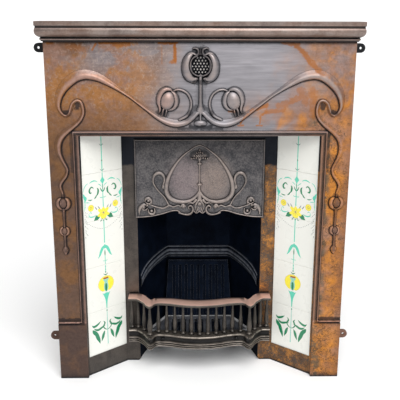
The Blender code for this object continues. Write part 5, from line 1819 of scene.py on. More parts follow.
class Picture:
    """The flower picture on a panel of five tiles, from its middle line and the tiles' foot."""

    def __init__(self) -> None:
        """Draw every part of the picture."""
        self.marks = (self.stalk() + self.scrolls() + self.posy() + self.festoon()
                      + self.tulip() + self.fruit() + self.leaves())

    @staticmethod
    def stalk() -> list[Mark]:
        """The upright stalk with its ticks and the leaf that crowns the scrolls.

        Returns:
            Its marks.
        """
        teal, green, pale = Paint.TEAL, Paint.GREEN, Paint.PALE_TEAL
        marks = [
            Stroke(teal, ((0, 765, 3.6), (0, 690, 3.4), (0, 600, 3.2), (0, 560, 3.0),
                          (0, 480, 3.4), (0, 380, 3.6)), both=False, step=40),
            Stroke(pale, ((0, 150, 2.0), (0, 90, 3.2), (0, 26, 3.6)), both=False, step=40),
            Stroke(teal, ((0, 602, 1.0), (0, 594, 5.0), (0, 586, 16.0), (0, 583, 14.0),
                          (0, 576, 5.0), (0, 570, 2.0)), both=False, step=1.5),
            Stroke(green, ((1, 549, 2.5), (5, 554, 4.0), (9, 563, 1.2))),
            Stroke(green, ((0, 572, 2.0), (0, 556, 2.2)), both=False),
            Stroke(teal, ((1, 531, 1.6), (7, 530, 2.6), (11, 533, 1.0))),
        ]
        for z in (698, 619):
            marks.append(Stroke(Paint.GREY, ((1.5, z - 2, 2.6), (5, z, 1.8), (7.5, z + 3, 0.8))))
        for z in (648, 300, 289, 146):
            marks.append(Spot(green, 0, z, 2.2, 2.2, both=False))
        return marks

    @staticmethod
    def scrolls() -> list[Mark]:
        """The pair of dashed scrolls with a pendant at each side.

        Returns:
            Its marks.
        """
        teal, green = Paint.TEAL, Paint.GREEN
        return [
            Stroke(teal, ((4, 566, 1.0), (10, 572, 2.6), (17, 576, 1.2))),
            Stroke(teal, ((19, 583, 1.2), (28, 587.5, 3.6), (38, 587, 4.0), (48, 582.5, 1.2))),
            Stroke(teal, ((54, 583, 1.4), (62, 578, 2.4), (68, 569, 2.2), (71.5, 557, 1.0))),
            Stroke(teal, ((72, 552, 2.0), (68.5, 542, 8.0), (65, 536, 11.0), (66, 530, 6.0),
                          (69, 524, 1.4)), step=1.5),
            Stroke(green, ((21, 564, 1.4), (17, 557, 6.0), (18.5, 546, 6.0), (23, 539, 1.4))),
            Stroke(green, ((22, 543, 1.2), (27, 535, 4.6), (33, 530.5, 1.4))),
            Stroke(green, ((40, 529, 1.2), (47, 528.5, 3.6), (56, 531, 1.2))),
            Stroke(green, ((34, 564, 1.8), (39.5, 569, 4.0), (46, 566, 4.6), (49.5, 558, 6.0),
                           (46.5, 551, 5.4), (41, 552, 2.0))),
            Stroke(teal, ((66, 528, 1.4), (67, 512, 2.6), (69, 497, 1.2))),
            Stroke(teal, ((50, 521, 1.0), (58, 522.5, 2.6), (66, 524, 1.2))),
            Stroke(teal, ((64, 509, 1.0), (70, 508, 2.0))),
            Stroke(teal, ((54, 486, 1.2), (53, 477, 3.0), (45, 473.5, 4.0), (35, 474.5, 3.0),
                          (27, 479, 1.0))),
            Stroke(teal, ((52, 487, 1.0), (47, 489, 2.6), (44, 485, 1.4))),
        ]

    @staticmethod
    def posy() -> list[Mark]:
        """The yellow flower with its leaves and two small blooms.

        Returns:
            Its marks.
        """
        yellow, green = Paint.YELLOW, Paint.GREEN
        marks = [
            Stroke(green, ((14, 468, 2.0), (22, 466, 9.0), (29, 463, 11.0), (37, 458, 2.0)), step=1.5),
            Stroke(green, ((20, 470, 2.0), (26, 473, 6.0), (33, 468, 1.5)), step=1.5),
            Stroke(green, ((4, 462, 2.0), (8, 458, 6.0), (13, 453, 1.0)), step=1.5),
            Stroke(green, ((0, 464, 2.0), (0, 458, 6.0), (0, 452, 1.0)), both=False, step=1.5),
            Stroke(Paint.GREY, ((12, 493, 2.4), (17, 500, 2.4), (20, 505, 0.8))),
            Stroke(Paint.GREY, ((24, 494, 2.4), (28, 500, 2.8), (31, 505, 0.8))),
            Spot(Paint.AMBER, 46, 503, 10.8, 10.8),
            Spot(yellow, 46, 503, 9.6, 9.6),
            Spot(Paint.AMBER, 46, 503, 4.6, 4.6),
            Spot(yellow, 46, 503, 2.4, 2.4),
        ]
        for turn, long in ((90, 19), (35, 25), (-20, 24), (-62, 20)):
            reach = math.radians(turn)
            run = [(4, 4.0), (long * 0.42, 11.5), (long * 0.72, 10.5), (long * 0.92, 5.0), (long, 1.0)]
            keys = tuple((math.cos(reach) * far, 480 + math.sin(reach) * far, wide)
                         for far, wide in run)
            marks.append(Stroke(yellow, keys, both=turn != 90, step=2.0))
        marks.append(Stroke(yellow, ((0, 477, 5), (0, 470, 12), (0, 463, 10), (0, 459, 3)),
                            both=False, step=2.0))
        for turn in (12, 62, -44, -90):
            reach = math.radians(turn)
            marks.append(Stroke(Paint.AMBER, tuple(
                (math.cos(reach) * far, 480 + math.sin(reach) * far, wide)
                for far, wide in ((3, 1.2), (9, 1.0), (14, 0.5))), both=turn != -90))
        marks.append(Spot(Paint.AMBER, 0, 480, 3.6, 3.2, both=False))
        marks.append(Spot(Paint.GREY, 0, 480, 1.5, 1.5, both=False))
        return marks

    @staticmethod
    def festoon() -> list[Mark]:
        """A dotted swag under the flower, and specks down the panel's edges.

        Returns:
            Its marks.
        """
        marks = []
        for i in range(11):
            share = (i + 0.5) / 11
            marks.append(Spot(Paint.GREY, 4 + 66 * share, 429 + 36 * share ** 1.7, 1.7, 0.8,
                              turn=30 * share))
        for i in range(12):
            up = 492 - i * 7.2
            sway = 3.4 * math.sin(i * 2.4)
            marks.append(Spot(Paint.GREY, 66 + sway, up, 1.1, 1.5))
            marks.append(Spot(Paint.GREY, 61 + sway * 1.3 + i * 0.35, up - 3.4, 1.0, 1.2))
        return marks

    @staticmethod
    def tulip() -> list[Mark]:
        """The hanging leaves, the dark spear between them and the ticks below.

        Returns:
            Its marks.
        """
        teal, green = Paint.TEAL, Paint.GREEN
        return [
            Stroke(teal, ((2, 369, 7.0), (9, 363, 9.5), (15, 352, 9.0), (20, 341, 6.0),
                          (26.5, 332, 1.0)), step=1.8),
            Stroke(teal, ((0, 375, 3.0), (0, 368, 9.0), (0, 361, 5.0)), both=False, step=1.8),
            Stroke(green, ((0, 357, 1.0), (0, 346, 4.2), (0, 335, 2.0)), both=False, step=3),
            Stroke(teal, ((0, 337, 3.0), (0, 322, 2.6), (0, 300, 2.6), (0, 281, 3.0)), both=False,
                   step=20),
            Stroke(teal, ((1, 320, 1.6), (5, 319, 2.2), (9, 321, 0.8))),
            Stroke(green, ((1, 271, 3.0), (5, 273, 2.6), (8.5, 276, 0.8))),
            Spot(green, 0, 280, 2.2, 2.6, both=False),
            Spot(green, 0, 271, 3.0, 2.2, both=False),
        ]

    @staticmethod
    def fruit() -> list[Mark]:
        """The round yellow fruit with its calyx and seed, over the flared spear.

        Returns:
            Its marks.
        """
        teal, green = Paint.TEAL, Paint.GREEN
        return [
            Spot(Paint.AMBER, 0, 240, 30.5, 27.5, both=False),
            Spot(Paint.YELLOW, 0, 240, 29.6, 26.6, both=False),
            Stroke(Paint.BROWN, ((-11, 261, 1.0), (-6, 259, 6.5), (0, 257, 8.0), (6, 259, 6.5),
                                 (11, 261, 1.0)), both=False, step=1.5),
            Stroke(Paint.PALE_TEAL, ((0, 213, 7.0), (0, 224, 17.0), (0, 238, 16.5), (0, 246, 12.0),
                                     (0, 252, 19.0), (0, 256, 25.0), (0, 257, 20.0)), both=False,
                   step=1.5),
            Stroke(Paint.BROWN, ((-8, 262.5, 1.0), (-3, 259.5, 5.5), (3, 259.5, 5.5),
                                 (8, 262.5, 1.0)), both=False, step=1.5),
            Spot(green, 0, 228, 4.4, 14, both=False),
            Stroke(teal, ((0, 209, 30.0), (0, 204, 24.0), (0, 195, 16.0), (0, 184, 9.0),
                          (0, 172, 5.6), (0, 158, 3.6), (0, 148, 2.6)), both=False, step=2.0),
            Spot(Paint.GLAZE, 8.5, 211.5, 5.6, 4.4),
        ]

    @staticmethod
    def leaves() -> list[Mark]:
        """The two sprays of leaves in the lowest tile.

        Returns:
            Its marks.
        """
        green = Paint.GREEN
        return [
            Stroke(green, ((26, 115, 1.0), (35, 108, 6.0), (46, 103, 8.0), (54, 103, 6.5),
                           (60, 109, 1.0)), step=1.8),
            Stroke(green, ((9, 96, 1.2), (20, 92, 6.0), (34, 87, 7.5), (44, 89, 6.0),
                           (53, 96, 1.0)), step=1.8),
            Stroke(green, ((15, 112, 1.4), (10, 104, 5.2), (16, 93, 4.2), (10, 83, 3.2),
                           (1, 78, 1.8)), step=1.8),
            Stroke(green, ((58, 92, 2.0), (53, 84, 12.0), (44, 73, 13.0), (39, 60, 13.0), (34, 48, 9.0),
                           (31, 36, 1.0)), step=1.8),
            Stroke(green, ((11, 77, 1.4), (16, 67, 9.0), (20, 55, 9.0), (25, 42, 1.0)), step=1.8),
        ]


@dataclass
class TilePanels:
    """Ten glazed tiles up the two cheeks, painted as two panels."""

    finishes: list[bpy.types.Material]
    picture: Picture
    size: float = 152.4
    joint: float = 0.5
    rows: int = 5
    depth: float = 7.4
    edge: float = 1.1
    edge_fall: float = 0.7
    margin: float = 0.003
    lip: float = 0.0012
    seat: float = 0.0023
    foot: float = 0.0629

    def face(self, row: int, flip: bool) -> tuple[list, list, list]:
        """Divide a tile's face by the picture's outlines.

        Args:
            row: The tile's place up the panel.
            flip: True on the panel that is the mirror of the other.

        Returns:
            Points in millimetres from the tile's middle, triangles, and each one's paint.
        """
        half = self.size / 2 - self.edge
        low = row * (self.size + self.joint) + self.size / 2
        square = [(-half, -half), (half, -half), (half, half), (-half, half)]
        shapes = [(Paint.GLAZE.value, square)]
        for mark in self.picture.marks:
            for turned in ((False, True) if mark.both else (flip,)):
                edge = [(x, z - low) for x, z in mark.outline(turned)]
                if min(z for _, z in edge) < half and max(z for _, z in edge) > -half:
                    shapes.append((mark.paint.value, edge))
        spots, loops = [], []
        for _, edge in shapes:
            area = sum(a[0] * b[1] - b[0] * a[1] for a, b in zip(edge, edge[1:] + edge[:1]))
            run = edge if area > 0 else edge[::-1]
            loops.append(list(range(len(spots), len(spots) + len(run))))
            spots += [Vector(point) for point in run]
        points, _, triangles, _, _, sources = delaunay_2d_cdt(spots, [], loops, 1, 1e-4)
        kept, paints = [], []
        for triangle, source in zip(triangles, sources):
            if 0 in source:
                kept.append(tuple(triangle))
                paints.append(shapes[max(source)][0])
        return [tuple(point) for point in points], kept, paints

    def tile(self, word: str, side: int, row: int) -> None:
        """Make one tile: its painted face, eased edge, sides and back.

        Args:
            word: The panel's name.
            side: -1 for the left panel, 1 for the right one.
            row: The tile's place up the panel.
        """
        flat, faces, paints = self.face(row, side > 0)
        used = sorted({i for face in faces for i in face})
        number = {old: new for new, old in enumerate(used)}
        points = [(flat[i][0], 0.0, flat[i][1]) for i in used]
        faces = [tuple(number[i] for i in face) for face in faces]
        inner = self.size / 2 - self.edge
        outer = self.size / 2
        rim = [i for i, (x, _, z) in enumerate(points)
               if max(abs(x), abs(z)) > inner - 1e-4]
        rim.sort(key=lambda i: math.atan2(points[i][2], points[i][0]))
        start = len(points)
        for i in rim:
            x, _, z = points[i]
            points.append((math.copysign(outer, x) if abs(x) > inner - 1e-4 else x, self.edge_fall,
                           math.copysign(outer, z) if abs(z) > inner - 1e-4 else z))
        back = len(points)
        points += [(x, self.depth, z) for x, _, z in points[start:back]]
        count = len(rim)
        for k in range(count):
            j = (k + 1) % count
            faces.append((rim[k], rim[j], start + j, start + k))
            faces.append((start + k, start + j, back + j, back + k))
            paints += [Paint.GLAZE.value] * 2
        faces.append(tuple(back + k for k in range(count)))
        paints.append(Paint.BISCUIT.value)
        middle = self.size / 2 * MM + self.margin - self.lip
        along = Vector((side * math.cos(SPLAY), -math.sin(SPLAY)))
        behind = Vector((side * math.sin(SPLAY), math.cos(SPLAY)))
        low = self.foot + (row * (self.size + self.joint) + self.size / 2) * MM
        placed = []
        for x, y, z in points:
            reach = middle + side * x * MM
            spot = Vector((side * STILE_OUTER, STILE_Y)) + along * reach
            spot += behind * (self.seat + y * MM)
            placed.append((spot.x, spot.y, low + z * MM))
        piece = Bench.adopt(f"glazed_tile_{word}_{row + 1}", placed, faces)
        for finish in self.finishes:
            piece.data.materials.append(finish)
        piece.data.polygons.foreach_set("material_index", paints)
        Bench.shade(piece, 20)
        Bench.hand_in(piece, self.finishes[0], "tile_glaze", f"tile_{word}_{row + 1}")

    def build(self) -> None:
        """Make both panels."""
        for side, word in ((-1, "left"), (1, "right")):
            for row in range(self.rows):
                self.tile(word, side, row)


@dataclass
class Canopy:
    """The hood: a plate with a thin border, a heart-shaped ring, a stem, curls and flowers."""

    finish: bpy.types.Material
    lower: tuple[Key, ...] = (
        (206.4, 513), (185, 513.6), (158, 516.5), (125, 523), (104, 529.5), (88, 534), (72, 535),
        (64, 530), (56, 523.5), (43, 520), (31, 521.5), (24, 527), (20, 534.5), (14, 529),
        (10, 526.5), (5, 529), (0, 533),
    )
    heart: tuple[Key, ...] = (
        (-1, 751, 4.5, 4), (12, 747, 4.5, 4.2), (28, 737, 5, 4.5), (58, 712, 7.5, 5.2),
        (83, 679, 11, 6), (100, 645, 14.5, 6.8), (106.5, 614, 16.5, 7.2), (102, 590, 17, 7.4),
        (86, 573.5, 16, 7), (59, 566.5, 13.5, 6.5), (33, 570, 12, 6.2), (13, 583, 11, 6),
        (2, 598, 9, 5.5),
    )
    curl: tuple[Key, ...] = (
        (117, 620, 6, 5), (112, 638, 8, 5.5), (115, 653, 11, 6), (125, 661.5, 13, 6.5),
        (138, 659.5, 13, 6.5), (146.5, 648, 9.5, 5.5), (147.5, 631, 6.5, 5), (140, 615, 5.8, 4.6),
        (130.5, 602, 5.6, 4.6), (112, 581, 5.6, 4.6), (98, 555, 7, 5),
    )
    branch: tuple[Key, ...] = (
        (60, 550, 7, 4.6), (69, 555, 5.4, 4.4), (84, 550, 5.6, 4.4), (98, 554, 7, 5),
        (118, 545.5, 6, 4.4), (144, 551.5, 5, 4.2), (164, 559, 5, 4),
    )

    def plate(self) -> Piece:
        """The flat plate with its shaped lower edge.

        Returns:
            The plate.
        """
        half = smooth_path(list(self.lower), 4.0)
        edge = [(HOOD_HIGH.x / MM, HOOD_HIGH.z / MM)] + [point[:2] for point in half]
        edge += [(-x, z) for x, z in reversed(edge[:-1])]
        rings = [[(x * MM, y, z * MM) for x, z in edge] for y in (HOOD_FACE, HOOD_HIGH.y)]
        return Bench.loft("hood_plate", rings)

    def border(self) -> list[Piece]:
        """The thin raised border round the plate.

        Returns:
            Its pieces.
        """
        inset, size = 2.6, (4.6, 3.0)
        side = HOOD_HIGH.x / MM - inset
        top = HOOD_HIGH.z / MM - inset
        low = [(x - (1.6 if x > 150 else 0), z + inset, *size) for x, z in self.lower]
        low[0] = (side, 515.6, *size)
        upright = tuple((side, z, *size) for z in (515, 640, top))
        across = tuple((x, top, *size) for x in (0, side / 2, side))
        return [
            Stem(tuple(low), step=3.0).build("border_low", HOOD_FACE),
            Stem(upright, step=20, shine=0.35).build("border_side", HOOD_FACE),
            Stem(across, step=20, shine=0.35).build("border_top", HOOD_FACE),
        ]

    def flowers(self) -> list[Piece]:
        """Small flowers and leaves at the corners and in the curls.

        Returns:
            Its pieces.
        """
        stems = (
            Stem(((193, 524, 2, 3), (194, 536, 9, 5), (189, 549, 15, 6.5), (178, 557, 13, 6),
                  (170, 556, 4, 4)), step=1.5),
            Stem(((154, 560, 3, 4), (155, 571, 9, 5.5), (163, 579, 12, 6.5), (172, 576, 10, 6),
                  (175, 567, 3, 4)), step=1.5),
            Stem(((145, 544, 4, 4), (144, 534, 8, 5.5), (150, 526.5, 9.5, 6), (159, 527.5, 8.5, 6),
                  (164, 535, 6, 5), (164, 542, 3, 4)), step=1.5),
            Stem(((168, 545, 5, 5), (172, 541, 6, 6), (179, 540, 6, 6), (184, 545, 5, 5)), step=1.5),
            Stem(((156, 566, 5, 5), (159, 562, 6, 6), (166, 561, 5.5, 6), (172, 565, 4, 5)), step=1.5),
            Stem(((60, 551, 9, 6), (54, 557, 10, 6.5), (47, 553, 8, 6), (50, 545, 4, 4)), step=1.5),
            Stem(((66, 530, 5, 4), (54, 526, 5.5, 4.6), (41, 524.5, 6, 5), (29, 528, 7, 5.6),
                  (22, 537, 7.5, 6), (21.5, 547, 7.5, 6.4), (28, 554, 7, 6.4), (35, 551, 6, 6),
                  (35, 545, 4.5, 5.5), (31, 543, 3, 4)), step=1.5),
            Stem(((12, 572, 12, 7), (21, 563, 8, 6), (30, 564, 5, 4.6), (38, 560, 3, 4)), step=1.5),
            Stem(((5, 570, 10, 8), (11, 560, 9, 7.5), (14, 551, 7, 7), (11, 543, 5, 6)), step=1.5),
            Stem(((4, 549, 6, 7), (7, 541, 6, 6.5), (11, 533, 4, 5)), step=1.5),
        )
        made = [stem.build(f"hood_leaf_{i}", HOOD_FACE) for i, stem in enumerate(stems)]
        bosses = (
            Boss(116, 616, 6, 9, 6.5), Boss(164, 571, 6, 6, 8), Boss(179, 549, 6.5, 6.5, 8.5),
            Boss(154, 537, 6, 6, 8), Boss(52, 551, 6, 6, 8.5), Boss(168, 556, 5, 5, 8.5),
        )
        made += [boss.build(f"hood_boss_{i}", HOOD_FACE) for i, boss in enumerate(bosses)]
        return made

    def middle(self) -> list[Piece]:
        """The middle stem, its knots and the umbrella flower.

        Returns:
            Its pieces.
        """
        stem = Stem(((0, 575, 19, 7), (0, 590, 14, 6.4), (0, 604, 8.5, 5.6), (0, 620, 5.4, 5),
                     (0, 660, 4.8, 4.8), (0, 704, 5, 5)))
        made = [stem.build("hood_stem", HOOD_FACE)]
        # The wide oval 0.9 mm high with shine below nought is a dark sheet: painted shade round the
        # umbrella flower
        bosses = [Boss(0, 624, 10, 5, 7.5), Boss(0, 692, 9, 4.4, 7), Boss(0, 706, 6, 6, 6),
                  Boss(0, 717, 25, 9, 3.6), Boss(0, 560, 9, 8, 9), Boss(0, 736, 3.6, 3.6, 7),
                  Boss(0, 718, 34, 20, 0.9, polish=0.0, shine=-0.75),
                  Boss(0, 550, 25, 17, 4.5, polish=0.7, shine=0.3)]
        for count, z, reach, wide in ((8, 711, 25, 3.4), (6, 720, 16.5, 3.2), (4, 728.5, 9, 3.0)):
            for k in range(count):
                share = k / (count - 1) * 2 - 1
                bosses.append(Boss(share * reach, z - 2.6 * share * share, wide, 3.9, 7.2, sides=12,
                                   polish=0.5, shine=1.4))
        return made + [boss.build(f"hood_knot_{i}", HOOD_FACE) for i, boss in enumerate(bosses)]

    def build(self) -> None:
        """Model the hood."""
        half = [Stem(self.heart).build("hood_heart", HOOD_FACE),
                Stem(self.curl, step=1.6).build("hood_curl", HOOD_FACE),
                Stem(self.branch, step=1.6).build("hood_branch", HOOD_FACE)]
        half += self.border() + self.flowers()
        sides = Bench.both_sides(Bench.join("hood_sides", half))
        raised = Bench.join("hood_raised", [sides, *self.middle()])
        Bench.slice_behind(raised, HOOD_FACE + BURIED)
        Bench.shade(raised, 60)
        plate = self.plate()
        Bench.soften(plate, 0.0008, 60)
        Bench.shade(plate, 35)
        whole = Bench.join("hood_casting", [plate, raised])
        Bench.hand_in(whole, self.finish, "hood_iron", "hood")


@dataclass
class FireBars:
    """The bars across the fire: a flat top rail, turned bars and a moulded lower rail."""

    finish: bpy.types.Material
    lower_top: float = 0.137
    nub_radius: float = 0.0058
    nub_back: float = 0.0062
    nub_level: float = 0.1335
    nub_squash: float = 0.72
    rivet_across: float = 0.121
    rivet_out: float = 0.0750
    rivet_level: float = 0.1185
    bar_radius: float = 6.2
    bar_line: float = 0.46
    front_count: int = 13
    end_count: int = 3
    end_margin: float = 10.0
    cusp: int = 5
    # Half of the rails' plan: outer edge across and out from the stiles, then the inner edge
    plan: tuple[Key, ...] = (
        (234, 49, 234, 0.4), (211, 48, 212, 0.4), (200, 55, 196, 4), (183, 77, 180, 20),
        (172, 101, 169, 40), (162, 112, 160, 53), (153, 104, 153, 49), (144, 87, 146, 42),
        (129, 83, 125, 40), (96, 88, 92, 42), (64, 98, 62, 50), (32, 104.5, 31, 56),
        (0, 107, 0, 59),
    )
    # One bar up from its foot: millimetres up, share of the radius
    turning: tuple[Key, ...] = (
        (0, 1.10), (1.5, 1.30), (4, 1.36), (6.5, 1.20), (8, 0.90), (10, 0.80), (14, 0.95),
        (20, 1.12), (28, 1.20), (37, 1.14), (48, 0.96), (60, 0.78), (74, 0.64), (90, 0.54),
        (101, 0.52), (105, 0.64),
    )
    # The lower rail's section: share from the outer to the inner edge, height in mm, how rubbed, the
    # ridges' rubbing also a painted highlight
    lower_section: tuple[Key, ...] = (
        (0.80, 137, 0), (0.07, 137, 0.2), (0.025, 136.2, 0.8), (0.0, 134.4, 1), (0.0, 132.0, 0.7),
        (0.03, 130.4, 0), (0.12, 129.4, 0), (0.20, 127, 0), (0.245, 122, 0.1), (0.255, 117, 0.1),
        (0.23, 113, 0), (0.17, 110.8, 0), (0.09, 109.8, 0.5), (0.055, 108.4, 1), (0.06, 106.8, 0.6),
        (0.12, 105.8, 0), (0.155, 105, 0), (0.155, 103.6, 0), (0.10, 102.8, 0.4), (0.065, 101.4, 1),
        (0.07, 99.8, 0.5), (0.14, 98.9, 0), (0.175, 98, 0), (0.175, 96.6, 0), (0.12, 95.8, 0.3),
        (0.09, 94.2, 0.9), (0.10, 92.2, 0.5), (0.16, 90.4, 0), (0.22, 88, 0), (0.38, 88, 0),
        (0.80, 127, 0),
    )
    top_section: tuple[Key, ...] = (
        (0.05, 239, 0), (0.015, 240, 0), (0.0, 242, 0), (0.0, 245, 0.2), (0.012, 247, 0.8),
        (0.05, 248, 0), (0.95, 248, 0), (0.988, 247, 0.8), (1.0, 245, 0.2), (0.99, 239, 0),
    )

    def stations(self) -> list[Key]:
        """Points along the rails' plan, right to left, finer than the table and crisp at the cusps.

        Returns:
            The points, each with its outer and its inner place.
        """
        outward = smooth_path(list(self.plan[:self.cusp + 1]), 5.0)
        across = smooth_path(list(self.plan[self.cusp:]), 5.0)
        half = outward + across[1:]
        return half + [(-ox, oy, -ix, iy) for ox, oy, ix, iy in reversed(half[:-1])]

    def rail(self, name: str, section: tuple[Key, ...]) -> Piece:
        """Carry a section along the plan.

        Args:
            name: The rail's name.
            section: Its section: share, height and wear.

        Returns:
            The rail.
        """
        rings = [[((ox + (ix - ox) * share) * MM, STILE_Y - (oy + (iy - oy) * share) * MM, z * MM)
                  for share, z, _ in section] for ox, oy, ix, iy in self.stations()]
        return Bench.loft(name, rings, [rubbed for _, _, rubbed in section] * len(rings))

    def bar(self) -> Piece:
        """Turn one bar about the Z axis, its foot at the origin.

        Returns:
            The bar.
        """
        run = [(0.0, 0.0)] + [(share * self.bar_radius, up) for up, share in self.turning]
        run.append((0.0, run[-1][1]))
        points = [(radius * MM, 0.0, up * MM) for radius, up in run]
        mesh = bpy.data.meshes.new("fire_bar")
        mesh.from_pydata(points, [(i, i + 1) for i in range(len(points) - 1)], [])
        piece = Bench.place("fire_bar", mesh)
        Bench.edit(piece, lambda: bpy.ops.mesh.spin(
            steps=20, angle=math.tau, center=(0, 0, 0), axis=(0, 0, 1)))
        Bench.outward(piece, merge=1e-5)
        return piece

    def places(self) -> list[tuple[Vector, float]]:
        """Where each bar stands, and how stout it is.

        Returns:
            Each bar's place and size.
        """
        line = [Vector((ox + (ix - ox) * self.bar_line, STILE_Y / MM - oy - (iy - oy) * self.bar_line))
                for ox, oy, ix, iy in self.stations()]
        cusp = self.plan[self.cusp][0]
        across = [(-cusp + 2 * cusp * i / (self.front_count - 1), 1.0)
                  for i in range(self.front_count)]
        across[0] = (across[0][0], 1.14)
        across[-1] = (across[-1][0], 1.14)
        step = (self.plan[0][0] - self.end_margin - cusp) / self.end_count
        across += [(side * (cusp + step * (k + 1)), 1.0)
                   for side in (-1, 1) for k in range(self.end_count)]
        return [(self.point(line, x), stout) for x, stout in across]

    @staticmethod
    def point(line: list, x: float) -> Vector:
        """Find a point on a line that runs from right to left.

        Args:
            line: Its points, the first two values of each being the place.
            x: How far across the point is.

        Returns:
            The point.
        """
        for near, far in zip(line, line[1:]):
            if far[0] <= x <= near[0]:
                break
        return Vector(near[:2]).lerp(Vector(far[:2]), (near[0] - x) / (near[0] - far[0]))

    def nub(self, x: float, stout: float) -> Piece:
        """A half-round nub over the lower rail's edge, in front of a bar.

        Args:
            x: How far across the bar stands.
            stout: How stout it is.

        Returns:
            The nub.
        """
        y = self.point(self.stations(), x).y
        bpy.ops.mesh.primitive_uv_sphere_add(
            segments=14, ring_count=8, radius=self.nub_radius * stout,
            location=(x * MM, STILE_Y - y * MM + self.nub_back, self.nub_level),
            scale=(1, 1, self.nub_squash))
        return Bench.settle(Bench.named("nub"))

    def build(self) -> None:
        """Model the bars and their rails as one casting."""
        pieces = [self.rail("top_rail", self.top_section), self.rail("lower_rail", self.lower_section)]
        pattern = self.bar()
        for spot, stout in self.places():
            bar = Bench.place("fire_bar", pattern.data.copy())
            bar.data.transform(Matrix.Diagonal((stout, stout, 1.0, 1.0)))
            bar.data.transform(Matrix.Translation((spot.x * MM, spot.y * MM, self.lower_top - 0.001)))
            pieces.append(bar)
            pieces.append(self.nub(spot.x, stout))
        bpy.data.objects.remove(pattern)
        for side in (-1, 1):
            bpy.ops.mesh.primitive_uv_sphere_add(
                segments=16, ring_count=8, radius=self.nub_radius,
                location=(side * self.rivet_across, STILE_Y - self.rivet_out, self.rivet_level))
            pieces.append(Bench.settle(Bench.named("rivet")))
        whole = Bench.join("fire_bars", pieces)
        Bench.shade(whole, 32)
        Bench.hand_in(whole, self.finish, "bars_iron", "front_bars")


@dataclass(frozen=True)
class Studio:
    """Pale floor, soft lamps, even sky and the camera."""

    lens: float = 61.24
    camera_at: Key = (-0.0401, -1.9975, 1.148)
    pitch: float = 0.2667
    yaw: float = -0.0197
    roll: float = 0.0026
    floor_size: float = 24.0
    sky: float = 0.42
    day: float = 2.9
    softness: float = 50.0
    day_turn: Key = (40.0, 9.0)
    shine_at: Key = (0.7, -2.6, 2.4)
    shine_aim: Key = (0.0, 0.0, 0.7)
    shine_size: float = 1.6
    shine_power: float = 14.0

    def floor(self) -> None:
        """A plain pale floor."""
        bpy.ops.mesh.primitive_plane_add(size=self.floor_size)
        piece = Bench.named("floor")
        Bench.pick(piece)
        bpy.ops.object.mode_set(mode="EDIT")
        bpy.ops.mesh.select_mode(type="EDGE")
        bpy.ops.mesh.select_all(action="DESELECT")
        bpy.ops.object.mode_set(mode="OBJECT")
        far = self.floor_size / 2
        for edge in piece.data.edges:
            edge.select = all(piece.data.vertices[i].co.y > far - 0.01 for i in edge.vertices)
        bpy.ops.object.mode_set(mode="EDIT")
        bpy.ops.mesh.extrude_region_move(TRANSFORM_OT_translate={"value": (0, far * 0.7, far * 0.8)})
        bpy.ops.object.mode_set(mode="OBJECT")
        Bench.apply(piece, "BEVEL", width=far * 0.3, segments=6, limit_method="ANGLE")
        Bench.shade(piece, 60)
        made = bpy.data.materials.new("pale_floor")
        made.use_nodes = True
        shader = made.node_tree.nodes["Principled BSDF"]
        shader.inputs["Base Color"].default_value = linear(245, 245, 245)
        shader.inputs["Roughness"].default_value = 0.9
        piece.data.materials.append(made)

    def lamp(self, name: str, at: Key, aim: Key, size: float, power: float) -> None:
        """A square soft lamp aimed at a point.

        Args:
            name: The lamp's name.
            at: Where it stands.
            aim: The point it faces.
            size: Its side, in metres.
            power: Its power, in watts.
        """
        lamp = bpy.data.lights.new(name, "AREA")
        lamp.size = size
        lamp.energy = power
        holder = Bench.place(name, lamp)
        holder.location = at
        holder.rotation_euler = (Vector(aim) - Vector(at)).to_track_quat("-Z", "Y").to_euler()

    def build(self) -> None:
        """Set the stage."""
        self.floor()
        sun = bpy.data.lights.new("daylight", "SUN")
        sun.energy = self.day
        sun.angle = math.radians(self.softness)
        holder = Bench.place("daylight", sun)
        tip, lean = self.day_turn
        holder.rotation_euler = (math.radians(tip), math.radians(lean), 0)
        self.lamp("shine", self.shine_at, self.shine_aim, self.shine_size, self.shine_power)
        world = bpy.context.scene.world or bpy.data.worlds.new("sky")
        bpy.context.scene.world = world
        world.use_nodes = True
        back = world.node_tree.nodes["Background"]
        back.inputs[0].default_value = (1.0, 1.0, 1.0, 1.0)
        back.inputs[1].default_value = self.sky
        camera = bpy.data.cameras.new("camera")
        camera.lens = self.lens
        camera.sensor_width = 36.0
        holder = Bench.place("camera", camera)
        turn = (Matrix.Rotation(self.yaw, 4, "Z") @ Matrix.Rotation(math.pi / 2 - self.pitch, 4, "X")
                @ Matrix.Rotation(self.roll, 4, "Z"))
        x, y, z = self.camera_at
        holder.matrix_world = Matrix.Translation((x, y + PLINTH_Y, z)) @ turn
        bpy.context.scene.camera = holder
        bpy.context.scene.view_settings.view_transform = "Standard"


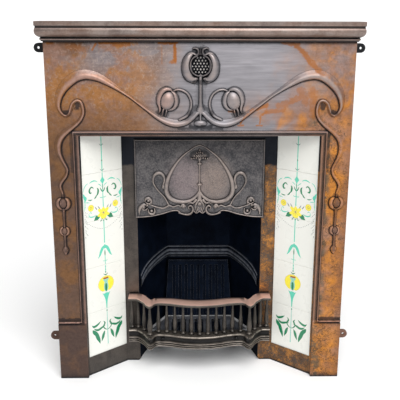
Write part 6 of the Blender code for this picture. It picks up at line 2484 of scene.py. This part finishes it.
def main() -> None:
    """Build and dress every piece."""
    Effect.build_all()
    surround_iron = CarvedIron("carved_iron", specular=0.2).build()
    SurroundCasting(surround_iron).build()
    top = SHELF_HIGH.z
    shelf_iron = DarkIron(
        "shelf_iron", metallic=0.6, deep=linear(114, 100, 94), pale=linear(148, 136, 130),
        worn=linear(188, 160, 152), edge_share=0.7, edge_reach=0.0020, grain=0.2, roughness=0.36,
        crest_share=0.32, tinge=0.32,
        # Painted shade in the groove under the fascia, under the torus and beneath; painted highlights
        # on the torus and the bead
        shaded_bands=((top - 0.0180, top - 0.0128), (top - 0.0466, top - 0.0434),
               (SHELF_LOW.z - 0.01, top - 0.0525)),
        highlit_bands=((top - 0.0212, top - 0.0192), (top - 0.0505, top - 0.0485)),
    ).build()
    MantelShelf(shelf_iron).build()
    register_iron = DarkIron(
        "register_iron", deep=linear(60, 55, 52), pale=linear(86, 79, 73),
        worn=linear(156, 140, 134), edge_share=0.7, rust_from=0.19, painted_above=0.68).build()
    PlainCasting("insert_frame", "register_plate", "insert_iron", register_iron).build()
    glazes = [Glaze(f"glaze_{word}", colour=colour).build() for word, colour in (
        ("cream", linear(234, 234, 227)), ("teal", linear(96, 206, 178)),
        ("green", linear(24, 128, 86)), ("yellow", linear(248, 232, 70)),
        ("brown", linear(166, 84, 44)), ("grey", linear(92, 108, 106)),
        ("amber", linear(196, 178, 84)), ("pale_teal", linear(146, 206, 190)))]
    glazes.append(Biscuit("biscuit").build())
    TilePanels(glazes, Picture()).build()
    hood_iron = DarkIron(
        "hood_iron", deep=linear(58, 58, 62), pale=linear(112, 108, 108), worn=linear(172, 158, 150),
        crest_share=0.7, edge_share=0.4, blush=0.72, grain=0.6, grain_scale=1.1, cloudy=0.4).build()
    Canopy(hood_iron).build()
    bars_iron = DarkIron(
        "bars_iron", deep=linear(50, 47, 44), pale=linear(84, 78, 72), worn=linear(152, 142, 132),
        crest_share=0.8, edge_share=0.5, edge_reach=0.0012, bare_above=0.2478, roughness=0.36,
        # Painted shade in the cove and the grooves of the lower rail
        shaded_bands=((0.1120, 0.1285), (0.1030, 0.1055), (0.0960, 0.0985))).build()
    FireBars(bars_iron).build()
    stove_black = DarkIron(
        "stove_black", metallic=0.0, specular=0.03, deep=linear(5, 10, 20), pale=linear(16, 24, 38),
        worn=linear(122, 126, 134), dirt_and_shade=linear(1, 2, 5), crest_share=0.85, edge_share=0.6,
        dirt_and_shade_share=1.0, roughness=0.6).build()
    FireChamber(stove_black).build()
    grate_iron = DarkIron(
        "grate_iron", metallic=0.2, specular=0.2, deep=linear(48, 50, 56), pale=linear(92, 94, 100),
        worn=linear(196, 196, 196), crest_share=0.7, edge_share=0.6, roughness=0.5).build()
    SlottedGrate(grate_iron).build()
    Studio().build()


if __name__ == "__main__":
    logging.basicConfig(level=logging.INFO, format="%(message)s")
    main()
